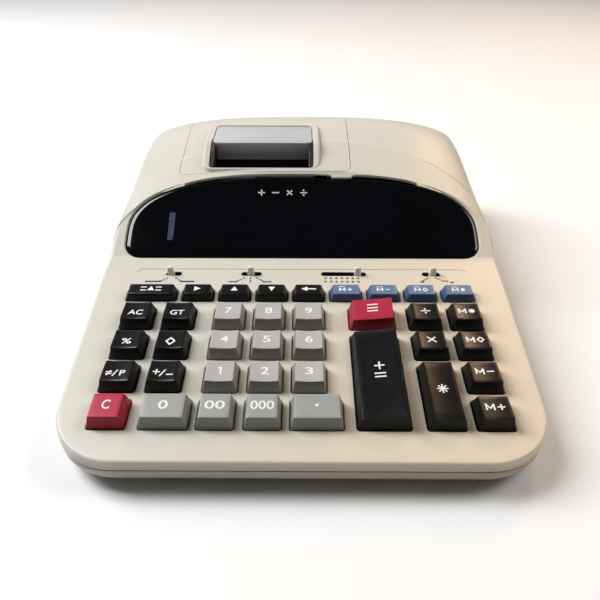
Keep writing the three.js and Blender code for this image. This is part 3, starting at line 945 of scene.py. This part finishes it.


# reach of the painted warm light; heights and darkest level of the painted shade near the table
PAINTED_WARM_REACH = 0.13
PAINTED_SHADE_HEIGHT = (0.0135, 0.0162)
PAINTED_SHADE_DARKEST = 0.74
MATERIALS = {
    # case colours, each with the warm colour of its painted light
    "ivory": painted_warm_light_and_shade("ivory_case", srgb(215, 212, 200), srgb(232, 215, 190), 0.36),
    # the lower case's colours are darker copies of the case ivory: painted shade on the lower walls
    "ivory_low": painted_warm_light_and_shade("ivory_lower_case", srgb(200, 194, 181), srgb(206, 188, 166), 0.42),
    "black": moulded("cap_black", srgb(16, 16, 18), 0.30, 2600, 0.08, 0.06, 60, 0.025, specular=0.4),
    "grey": moulded("cap_grey", srgb(182, 180, 177), 0.38, 2600, 0.10, 0.02, 40),
    "grey_flat": moulded("cap_grey_flat", srgb(163, 164, 161), 0.38, 2600, 0.10, 0.02, 40),
    "red": moulded("cap_red", srgb(181, 45, 69), 0.4, 2600, 0.10, 0.03, 40, specular=0.3),
    "blue": moulded("cap_blue", srgb(98, 124, 158), 0.38, 2600, 0.10, 0.04, 40),
    "legend": moulded("legend_white", srgb(244, 243, 240), 0.5, 3000, 0.05, 0.01, 90),
    "print": moulded("print_dark", srgb(46, 43, 41), 0.55, 3000, 0.05, 0.06, 90),
    "print_red": moulded("print_red", srgb(176, 84, 74), 0.55, 3000, 0.05, 0.05, 90),
    "knob": moulded("switch_knob", srgb(238, 234, 224), 0.32, 2400, 0.06, 0.02, 60),
    "window": moulded("window_panel", srgb(3, 4, 7), 0.06, 900, 0.01, 0.12, 20, 0.015, specular=0.5),
    # colour of the painted blue reflection on the window
    "window_blue_reflection": moulded("window_blue_reflection", srgb(22, 34, 74), 0.3, 1800, 0.04, 0.08, 90),
    "window_print": moulded("window_print", srgb(206, 206, 204), 0.45, 3000, 0.04, 0.02, 90),
    "tear": moulded("tear_bar_grey", srgb(196, 197, 199), 0.34, 2200, 0.08, 0.02, 30),
    "dark": moulded("printer_black", srgb(30, 28, 27), 0.45, 1600, 0.15, 0.10, 50),
    "roller": moulded("roller_rubber", srgb(44, 43, 44), 0.8, 3200, 0.3, 0.10, 70),
    "ink": moulded("ink_roller_felt", srgb(44, 30, 62), 0.85, 1500, 0.5, 0.15, 90),
    "foot": moulded("foot_rubber", srgb(34, 33, 33), 0.85, 2600, 0.35, 0.10, 60),
    "holder": moulded("holder_ivory", srgb(206, 197, 180), 0.42, 2400, 0.10, 0.02, 20),
    "steel": metal("steel", srgb(188, 187, 184), 0.3),
    "tube": moulded("tube_glass", srgb(40, 52, 60), 0.12, 500, 0.02, 0.15, 40, 0.03, coat=0.8),
    "sheet": moulded("key_sheet_rubber", srgb(196, 198, 192), 0.7, 2200, 0.15, 0.03, 40),
    "board": circuit("main_board_green"),
    "core": laminated("transformer_core"),
    "floor": moulded("floor_pale", srgb(252, 252, 252), 0.7, 300, 0.02, 0.004, 3),
}
# finish, side colour (a darker copy of the cap colour, painted shade), colour change, patch scale
CAP_SHADED_SIDES = (
    ("black", (10, 10, 11), 0.06, 60),
    ("grey", (146, 145, 144), 0.02, 40),
    ("grey_flat", (142, 143, 142), 0.02, 40),
    ("red", (160, 34, 56), 0.03, 40),
    ("blue", (66, 90, 126), 0.04, 40),
)
# matt side materials in darker colours: painted shade on the flanks and fronts of the caps
for finish, color, vary, patches in CAP_SHADED_SIDES:
    MATERIALS[f"{finish}_side"] = moulded(f"cap_{finish}_side", srgb(*color), 0.5, 2600, 0.15, vary, patches,
                                          specular=0.25)


# ---------------------------------------------------------------- case pieces
def deck_holes(areas, levels, r, corner):
    """One cutter from holes through the deck, each with a small chamfer at its surface."""
    tools = []
    for x, v in areas:
        rings = []
        for z, grow in levels:
            outline = rounded_rect((x[0] - grow, x[1] + grow), (v[0] - grow, v[1] + grow), r + grow, corner)
            rings.append(at_height(outline, z))
        tools.append(stack("hole", rings, deck))
    return join("holes", tools)


def key_holes():
    areas = [((x - width / 2, x + width / 2), (front, front + depth))
             for _, x, front, width, depth, _, _, _ in KEYS]
    levels = ((-8, KEY_GAP), (-0.4, KEY_GAP), (0.02, KEY_GAP + 0.3), (2.5, KEY_GAP + 0.3))
    return deck_holes(areas, levels, 0.8, 3)


def switch_slots():
    areas = [((start - SLOT_END, end + SLOT_END), (SWITCH_V - SLOT_W / 2, SWITCH_V + SLOT_W / 2))
             for _, start, end, _ in SWITCHES]
    return deck_holes(areas, ((-8, 0), (-0.3, 0), (0.02, 0.2), (2.5, 0.2)), 1.3, 6)


def engraved_line():
    """Thin groove above the switches, its ends turning down."""
    outer, inner = [], []
    for start, cx in ((180, -LINE_HALF_W + LINE_R), (90, LINE_HALF_W - LINE_R)):
        for i in range(7):
            a = math.radians(start - 90 * i / 6)
            for side, r in ((outer, LINE_R + LINE_W / 2), (inner, LINE_R - LINE_W / 2)):
                side.append((cx + r * math.cos(a), LINE_V - LINE_R + r * math.sin(a)))
    return prism("line", outer + inner[::-1], (-0.25, 1.0), deck)


def brow_recess(start, end, depth):
    """One stretch of the shadow gap between the window's top edge and the brow."""
    middle, half = (start + end) / 2, (end - start) / 2
    inner, outer = [], []
    for x, s in window_outline(0, 240):
        if start < x < end and s > 20:
            opening = max(1 - (abs(x - middle) / half) ** 6, 0) ** 0.5
            inner.append((x, s - 1.2))
            outer.append((x, s + depth * opening))
    return prism("recess", outer + inner[::-1], (-3.2, 1.6), window)


def brow_lug():
    """Small lug that reaches from the brow over the panel's top edge."""
    base = rounded_rect(LUG_X, (WINDOW_H - 1.5, WINDOW_H + 1.6), 0.9, 4, 6)
    top = rounded_rect((LUG_X[0] + 0.3, LUG_X[1] - 0.3), (WINDOW_H - 1.2, WINDOW_H + 1.4), 0.7, 4, 6)
    return stack("lug", [at_height(base, -0.7), at_height(base, 0.35), at_height(top, 0.6)], window)


def facing_rear(x, z, y):
    """Places an outline drawn on the rear wall: x across, z up, y into the wall."""
    return (x, y, z)


def rear_prism(name, x, z, r, y):
    """A block set into the rear wall."""
    return prism(name, rounded_rect(x, z, r, 5), y, facing_rear)


def cover_region(grow):
    """Everything above the printer bay that belongs to the cover."""
    outline = rounded_rect((COVER_X[0] - grow, COVER_X[1] + grow), (COVER_V - grow, BEHIND_CASE_V),
                           COVER_R + grow, 6)
    return prism("region", outline, (COVER_Z - grow, ABOVE_CASE_Z), deck)


def build_shell():
    """The hollow upper case before it's parted from the cover, with the paper holder's recess."""
    shell = roof_body("upper_case_shell", 0, SPLIT_Z + 0.15)
    cut(shell, roof_body("inside", SHELL_T, SPLIT_Z - 8, fine=False))
    backing_x = (HOLDER_X[0] - BACKING_T, HOLDER_X[1] + BACKING_T)
    add(shell, rear_prism("backing", backing_x, (SPLIT_Z + 0.3, HOLDER_Z[1] + 1.3), 3,
                          (HALF_L - HOLDER_DEPTH - BACKING_T, HALF_L - 1.2)))
    cut(shell, rear_prism("recess", HOLDER_X, (HOLDER_Z[0] - 4, HOLDER_Z[1]), 3,
                          (HALF_L - HOLDER_DEPTH, HALF_L + 5)))
    return shell


def paint_slot_shade(case):
    """The walls of the switch slots are painted black from just under the deck: painted shade inside the
    slots.
    """
    case.data.materials.append(MATERIALS["dark"])
    slot_height = deck(0, SWITCH_V, -0.25)[2]
    for polygon in case.data.polygons:
        centre = polygon.center / MM
        v = (centre.y + HALF_L) * math.cos(TILT) + (centre.z - DECK_Z) * math.sin(TILT)
        inside = any(start - 0.7 < centre.x < end + 0.7 for _, start, end, _ in SWITCHES)
        near = abs(v - SWITCH_V) < SLOT_W / 2 + 0.5
        if inside and near and centre.z < slot_height and abs(polygon.normal.z) < 0.6:
            # painted shade: the slot wall takes the dark material
            polygon.material_index = 1


def make_upper_case(shell):
    case = copy(shell, "upper_case_skin")
    cut(case, cover_region(0.15))
    pocket = ((-WINDOW_INSET - WINDOW_T - GAP, 0), (-0.5, 0), (0.0, 0.42), (0.6, 0.55))
    cut(case, stack("pocket", [at_height(window_outline(grow), z) for z, grow in pocket], window))
    cut(case, prism("opening", window_outline(-4), (-14, 2), window))
    for start, end, depth in RECESSES:
        cut(case, brow_recess(start, end, depth))
    add(case, brow_lug())
    for tool in (key_holes(), switch_slots()):
        cut(case, tool)
    cut(case, engraved_line())
    cut(case, rear_prism("inlet", (SLOT_X[0] - 1, SLOT_X[1] + 1), PAPER_INLET_Z, 2.2,
                         (HALF_L - 6, HALF_L + 5)))
    cut(case, rear_prism("power", INLET_X, INLET_Z, 1.5, (HALF_L - 8, HALF_L + 5)))
    paint(case, "ivory")
    paint_slot_shade(case)
    finish_piece(case, "case", ["upper_case"])


def tear_z(v):
    """Top of the tear bar."""
    return TEAR_Z + (v - TEAR_V[0]) * TEAR_SLOPE


def rim_z(v):
    """Top of the rim round the paper slot."""
    vs = (179.4, 181.0, 195.8, 199.0, 203, 231)
    zs = (24.7, 25.4, 30.6, 32.0, tear_z(203) + 0.5, tear_z(231) + 0.4)
    return float(np.interp(v, vs, zs))


def rim_outline(grow):
    return rounded_rect((SLOT_X[0] - RIM_W - grow, SLOT_X[1] + RIM_W + grow),
                        (RIM_V[0] - grow, RIM_V[1] + grow), RIM_R + grow, 6, 12)


def rim_frame():
    """Raised, rounded rim round the paper slot and the tear bar."""
    rings = [at_height(rim_outline(1.6), 20.5)]
    for drop, grow in ((3.0, 0.9), (1.3, 0.6), (0.5, 0.3), (0.12, -0.1), (0, -0.5), (0.1, -1.1)):
        rings.append(at_height(rim_outline(grow), lambda x, v, d=drop: rim_z(v) - d))
    middle = (sum(SLOT_X) / 2, 206.0)
    for share in (0.7, 0.4, 0.1):
        ring = [(middle[0] + (x - middle[0]) * share, middle[1] + (v - middle[1]) * share)
                for x, v in rim_outline(-1.1)]
        rings.append(at_height(ring, lambda x, v: rim_z(v) - 0.1))
    return stack("rim", rings, deck)


def paper_slot():
    """Cutter for the paper slot, wider at its mouth."""
    rings = []
    for z, grow in ((8, 0), (24.4, 0), (25.6, 0.5), (45, 0.5)):
        outline = rounded_rect((SLOT_X[0] - grow, SLOT_X[1] + grow), (SLOT_V[0] - grow, SLOT_V[1]), 2.2, 5, 6)
        rings.append(at_height(outline, z))
    return stack("slot", rings, deck)


def tear_pocket():
    """Cutter for the pocket that the tear bar lies in."""
    outline = rounded_rect(SLOT_X, (SLOT_V[0] + 6, TEAR_V[1] + GAP), 4.2, 6, 8)
    floor = at_height(outline, lambda x, v: tear_z(max(v, TEAR_V[0])) - TEAR_T - GAP)
    return stack("pocket", [floor, at_height(outline, 50)], deck)


def make_printer_cover(shell):
    cover = copy(shell, "printer_cover_skin")
    boolean(cover, cover_region(-0.15), "INTERSECT")
    add(cover, rim_frame())
    cut(cover, paper_slot())
    cut(cover, tear_pocket())
    finish_piece(cover, "printer_cover", ["printer_cover"], "ivory")


def make_tear_bar():
    rings = []
    for drop, inset in ((TEAR_T, 0.25), (TEAR_T - 0.25, 0), (0.35, 0), (0.1, 0.12), (0, 0.4)):
        outline = rounded_rect((SLOT_X[0] + GAP + inset, SLOT_X[1] - GAP - inset),
                               (TEAR_V[0] + inset, TEAR_V[1] - inset), 3.9 - inset, 6, 6)
        rings.append(at_height(outline, lambda x, v, d=drop: tear_z(v) - d))
    tear_bar = stack("tear_bar_skin", rings, deck)
    lip = rounded_rect((SLOT_X[0] + 2.4, SLOT_X[1] - 2.4), (TEAR_V[0], TEAR_V[0] + TEAR_T), 0.4, 3, 4)
    add(tear_bar, prism("lip", lip, (TEAR_Z - TEAR_LIP, TEAR_Z - 0.9), deck))
    finish_piece(tear_bar, "printer_cover", ["tear_bar"], "tear")


def make_slot_liners():
    """Dark cheeks at both ends of the paper slot."""
    for side, x in (("left", (SLOT_X[0] + 0.1, SLOT_X[0] + 2.1)),
                    ("right", (SLOT_X[1] - 2.1, SLOT_X[1] - 0.1))):
        middle = sum(x) / 2
        outline = rounded_rect(x, (SLOT_V[0] + 1.2, TEAR_V[0] + 0.6), 0.4, 3, 6)
        narrowed = [(middle + (px - middle) * 0.7, v) for px, v in outline]
        rings = [at_height(outline, 20), at_height(outline, lambda px, v: min(rim_z(v) - 0.9, 30.9)),
                 at_height(narrowed, lambda px, v: min(rim_z(v) - 0.7, 31.1))]
        cheek = stack(f"slot_cheek_{side}", rings, deck)
        finish_piece(cheek, "printer_cover", (), "dark")


def make_lower_case():
    # height, and how far the outline is drawn in there: outside from the floor up, then the inside
    levels = [(FLOOR_Z, 4.9), (FLOOR_Z + 0.15, 4.0), (FLOOR_Z + 0.6, 3.0), (FLOOR_Z + 1.4, 2.1),
              (FLOOR_Z + 2.8, 1.2), (FLOOR_Z + 4.6, 0.5), (SPLIT_Z - 0.9, 0.25), (SPLIT_Z - 0.4, 0.35),
              (SPLIT_Z - 0.15, 0.8), (SPLIT_Z - 0.15, WALL), (FLOOR_Z + 2.5, WALL), (FLOOR_Z + 2, WALL + 0.5)]
    case = stack("lower_case_skin", [at_height(case_outline(inset, 12), z) for z, inset in levels])
    cut(case, join("holes", [post("hole", place, ((0, 3.8), (FLOOR_Z + 1.2, 3.8))) for place in SCREWS]))
    finish_piece(case, "case", ["lower_case"], "ivory_low")


def make_screws():
    """Cross-headed screws in the wells of the lower case."""
    sections = ((FLOOR_Z + 0.35, 1.6), (FLOOR_Z + 0.45, 2.5), (FLOOR_Z + 0.9, 3.1), (FLOOR_Z + 1.6, 3.2))
    for index, (x, y) in enumerate(SCREWS, 1):
        head = post(f"screw_{index}", (x, y), sections, count=24)
        for half_x, half_y in ((2.1, 0.4), (0.4, 2.1)):
            outline = rounded_rect((x - half_x, x + half_x), (y - half_y, y + half_y), 0.1)
            cut(head, prism("cross", outline, (0, FLOOR_Z + 0.95)))
        finish_piece(head, "case", (), "steel")


def make_feet():
    sections = ((0, 5.6), (0.15, 6.5), (0.6, 7.1), (1.8, 7.6), (2.8, 7.9), (FLOOR_Z - 0.25, 7.9))
    for end, y in (("front", -FOOT_Y), ("rear", FOOT_Y)):
        for side, x in (("left", -FOOT_X), ("right", FOOT_X)):
            name = f"foot_{end}_{side}"
            foot = post(f"{name}_skin", (x, y), sections, count=36)
            finish_piece(foot, "case", [name], "foot")


# ---------------------------------------------------------------- window
def window_signs():
    """Four generic signs in a row: plus, minus, times and divide."""
    times = together([bar(-1.5, -1.5, 1.5, 1.5, SIGN_STROKE), bar(-1.5, 1.5, 1.5, -1.5, SIGN_STROKE)])
    divide = together([minus(2, SIGN_STROKE), dot(0, 1.65, 0.55), dot(0, -1.65, 0.55)])
    signs = (plus(2, SIGN_STROKE), minus(2, SIGN_STROKE), times, divide)
    return together([moved(sign, -12 + 8 * index, 0) for index, sign in enumerate(signs)])


def panel_level(x, s):
    return -WINDOW_INSET


def make_window():
    """Dark panel with a rounded edge, its printed signs and a painted blue reflection at its left."""
    edge = ((WINDOW_T, 0), (0.75, 0), (0.42, 0.3), (0.2, 0.9), (0.06, 1.7), (0, 2.8))
    rings = [at_height(window_outline(-GAP - inset, 72, 9), -WINDOW_INSET - drop) for drop, inset in edge]
    panel = stack("display_window_panel", rings, window)
    signs = on_surface("signs", moved(window_signs(), *SIGNS_AT), panel_level, window)
    # painted blue reflection laid on the panel's face
    mark = on_surface("mark", plate(rounded_rect(REFLECTION_X, REFLECTION_S, 0.4)), panel_level, window)
    parts = [paint(panel, "window"), paint(signs, "window_print"),
             paint(mark, "window_blue_reflection")]
    finish_piece(join("display_window_skin", parts), "case", ["display_window"])


# ---------------------------------------------------------------- keys and switches
def paint_cap_and_shaded_sides(cap, finish):
    """Tops worn smooth by fingers and sides still matt; the sides also take a darker copy of the cap colour
    as painted shade.
    """
    paint(cap, finish)
    cap.data.materials.append(MATERIALS[f"{finish}_side"])
    upward = Vector((0, -math.sin(TILT), math.cos(TILT)))
    # faces turned away from the deck's normal take the darker side colour, painted shade
    for polygon in cap.data.polygons:
        if polygon.normal.dot(upward) < CAP_SHADED_SIDE_LIMIT:
            polygon.material_index = 1


def legend_lift(x, width, form, legend):
    """How far a legend sits to the rear of its cap's middle."""
    if legend in ("plus_equals", "star"):
        return 0.4
    if form == "dish" and x < COL_7 - width:
        return LEFT_LEGEND_LIFT
    return {"low": 0.2, "flat": 0.3, "raised": 0.6}.get(form, 0.4)


def make_keys():
    for name, x, front, width, depth, finish, form, legend in KEYS:
        cap, top, (cx, cy) = key_cap(name, x, front, width, depth, form)
        paint_cap_and_shaded_sides(cap, "grey_flat" if finish == "grey" and form == "flat" else finish)
        shape = moved(legend_shape(legend), cx, cy + legend_lift(x, width, form, legend))
        mark = paint(on_surface("legend", shape, top, deck), "legend")
        finish_piece(join(f"{name}_cap", [cap, mark]), name, [name])


def make_switches():
    """Each switch: a knob through its slot, on a dark carrier under the deck."""
    for name, _, _, rest in SWITCHES:
        x = (rest - KNOB_W / 2, rest + KNOB_W / 2)
        v = (SWITCH_V - SLOT_W / 2 + 0.3, SWITCH_V + SLOT_W / 2 - 0.3)
        knob = block("knob", x, v, 0.7, (
            (-WALL - 1.2, 0), (0.2, 0), (3.6, 0.15), (4.2, 0.3), (4.5, 0.6), (4.6, 1.0)), deck, 2)
        carrier = block("carrier", (rest - CARRIER_REACH, rest + CARRIER_REACH), (SWITCH_V - 3, SWITCH_V + 3),
                        1, ((-WALL - 1.8, 0), (-WALL - 0.75, 0)), deck)
        parts = [paint(knob, "knob"), paint(carrier, "dark")]
        finish_piece(join(f"{name}_knob", parts), name, [name])


def deck_level(x, v):
    return 0.0


def make_switch_prints():
    """Position marks under the switches: dots and leader lines."""
    dark = [dot(x + offset, v, 0.55, 10) for x, v, offsets in POSITION_DOTS for offset in offsets]
    dark += [dot(12.3 + column * 2.82, v, 0.66, 10) for v in (110.9, 108.1) for column in range(7)]
    dark += [bar(*line) for line in LEADER_LINES]
    prints = [paint(on_surface("dark", together(dark), deck_level, deck), "print"),
              paint(on_surface("red", bar(*RED_LINE), deck_level, deck), "print_red")]
    finish_piece(join("switch_marks", prints), "case", ())


# ---------------------------------------------------------------- rear and inside
def make_power_inlet():
    """Jack in the rear wall with two contact pins in its cavity."""
    levels = ((HALF_L - 18, 1.0), (HALF_L - 17.4, 0.4), (HALF_L - 1.0, 0.4), (HALF_L - 0.6, 0.8))
    jack = block("power_inlet_skin", INLET_X, INLET_Z, 1.4, levels, facing_rear)
    cut(jack, rear_prism("cavity", CAVITY_X, CAVITY_Z, 3.85, (HALF_L - 13, HALF_L + 5)))
    finish_piece(jack, "case", ["power_inlet"], "dark")
    for side, x in zip(("left", "right"), PIN_X):
        rings = [at_height(circle(x, sum(INLET_Z) / 2, r, 20), HALF_L - back)
                 for back, r in ((14, 1.15), (5.2, 1.15), (4.6, 0.95), (4.3, 0.5))]
        finish_piece(stack(f"inlet_pin_{side}", rings, facing_rear), "case", (), "steel")


def make_paper_holder():
    """Rod on the pivots, one arm and the reel that carries the paper roll."""
    y = HALF_L - HOLDER_DEPTH / 2
    reel_z = PIVOT_Z + HOLDER_ARM
    x = (HOLDER_X[1] - 6, HOLDER_X[1] - 1)
    holder = turned("paper_holder_skin", (y, PIVOT_Z), (
        (HOLDER_X[0] + 0.5, 1.9), (HOLDER_X[0] + 0.9, 2.35),
        (HOLDER_X[1] - 0.9, 2.35), (HOLDER_X[1] - 0.5, 1.9)))
    add(holder, prism("arm", rounded_rect(x, (y - 2, y + 2), 1.2, 4), (PIVOT_Z, reel_z)))
    add(holder, turned("reel", (y, reel_z), (
        (HOLDER_X[0] + 3, 2.6), (HOLDER_X[0] + 3.5, 3.3), (HOLDER_X[0] + 4.4, 3.6),
        (x[1] - 1.4, 3.6), (x[1] - 0.5, 3.3), (x[1], 2.6))))
    finish_piece(holder, "paper_holder", ["paper_holder"], "holder")


def make_roller(name, finish, centre, overhang, x, r, chamfer):
    """A shaft that reaches beyond both plates of the frame, with a thicker roller on it."""
    sections = (
        (PLATE_X[0] - overhang, SHAFT_R - 0.4), (PLATE_X[0] - overhang + 0.4, SHAFT_R),
        (x[0], SHAFT_R), (x[0], r - 0.4), (x[0] + chamfer, r),
        (x[1] - chamfer, r), (x[1], r - 0.4), (x[1], SHAFT_R),
        (PLATE_X[1] + overhang - 0.4, SHAFT_R), (PLATE_X[1] + overhang, SHAFT_R - 0.4),
    )
    roller = turned(f"{name}_skin", centre, sections, deck, 36)
    finish_piece(roller, name, [name], finish)


def make_print_head():
    levels = ((-9, 0.6), (-8.4, 0), (3.6, 0), (4.3, 0.3), (4.6, 0.9))
    head = block("print_head_skin", HEAD_X, HEAD_V, 1.2, levels, deck)
    cut(head, turned("bore", RAIL, ((HEAD_X[0] - 9, RAIL_BORE_R), (HEAD_X[1] + 7, RAIL_BORE_R)), deck, 24))
    finish_piece(head, "print_head", ["print_head"], "dark")


def make_key_sheet():
    """Rubber sheet between the caps and the board, with a dome under each key."""
    sheet = prism("key_sheet", rounded_rect(SHEET_X, SHEET_V, 3), SHEET_Z, deck)
    sections = ((-7.5, 3.4), (-7.2, 3.2), (-6.95, 2.0), (-6.9, 1.2))
    domes = [post("dome", (x, front + depth / 2), sections, deck, 16)
             for _, x, front, _, depth, _, _, _ in KEYS]
    add(sheet, join("domes", domes))
    finish_piece(sheet, "case", (), "sheet")


def keep_cad_nodes():
    """The inner pieces that keep the CAD's own shape."""
    for node, material in (("main_board", "board"), ("display_tube", "tube"), ("transformer", "core"),
                           ("printer_frame", "dark")):
        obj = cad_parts[node]
        paint(obj, material)
        for polygon in obj.data.polygons:
            polygon.material_index = 0


# ---------------------------------------------------------------- stage
FLOOR_REACH = 4.0
CASE_MIDDLE = (0, 0, 0.03)
# name, place, aim, size, power, colour
LIGHTS = (
    ("key_light", (-0.95, 0.3, 1.05), CASE_MIDDLE, (0.6, 1.1), 24.5, (0.985, 0.99, 1.0)),
    ("right_fill", (0.95, 0.1, 0.9), CASE_MIDDLE, (0.5, 0.8), 6, (1.0, 0.96, 0.9)),
    ("warm_glint", (0.62, 0.95, 0.85), (0.06, 0, 0.03), (0.25, 0.3), 3.2, (1.0, 0.62, 0.36)),
    ("backdrop", (0, 2.8, 1.4), (0, 2.8, 0), (3.0, 1.0), 12, (0.97, 0.985, 1.0)),
)
SKY_COLOR = (0.86, 0.94, 1.0, 1)
SKY_STRENGTH = 0.05
CAMERA_PLACE = (0.0006, -0.2851, 0.1957)
CAMERA_TURN = (math.radians(55.6), 0, math.radians(0.34))
CAMERA_LENS = 35.83
CAMERA_SENSOR = 36


def make_floor():
    mesh = bpy.data.meshes.new("floor")
    corners = [(-1, -1), (1, -1), (1, 1), (-1, 1)]
    mesh.from_pydata([(x * FLOOR_REACH, y * FLOOR_REACH, 0) for x, y in corners], [], [(0, 1, 2, 3)])
    floor = bpy.data.objects.new("floor", mesh)
    bpy.context.scene.collection.objects.link(floor)
    paint(floor, "floor")


def area_light(name, place, aim, size, power, color):
    data = bpy.data.lights.new(name, "AREA")
    data.shape = "RECTANGLE"
    data.size, data.size_y = size
    data.energy = power
    data.color = color
    light = bpy.data.objects.new(name, data)
    light.location = place
    light.rotation_euler = (Vector(aim) - Vector(place)).to_track_quat("-Z", "Y").to_euler()
    bpy.context.scene.collection.objects.link(light)


def make_lights():
    for light in LIGHTS:
        area_light(*light)
    world = bpy.data.worlds.new("studio")
    world.use_nodes = True
    background = world.node_tree.nodes["Background"]
    background.inputs["Color"].default_value = SKY_COLOR
    background.inputs["Strength"].default_value = SKY_STRENGTH
    bpy.context.scene.world = world


def make_camera():
    data = bpy.data.cameras.new("camera")
    data.lens = CAMERA_LENS
    data.sensor_width = CAMERA_SENSOR
    camera = bpy.data.objects.new("camera", data)
    camera.location = CAMERA_PLACE
    camera.rotation_euler = CAMERA_TURN
    bpy.context.scene.collection.objects.link(camera)
    bpy.context.scene.camera = camera


# ---------------------------------------------------------------- assembly
shell = build_shell()
make_upper_case(shell)
make_printer_cover(shell)
discard(shell)
make_lower_case()
make_screws()
make_feet()
make_tear_bar()
make_slot_liners()
make_window()
make_keys()
make_switches()
make_switch_prints()
make_power_inlet()
make_paper_holder()
make_roller("feed_roller", "roller", FEED_CENTRE, 3, FEED_X, FEED_R, 0.5)
make_roller("ink_roller", "ink", INK_CENTRE, 2, INK_X, INK_R, 0.6)
make_print_head()
make_key_sheet()
keep_cad_nodes()
make_floor()
make_lights()
make_camera()
bpy.context.scene.view_settings.view_transform = "Standard"
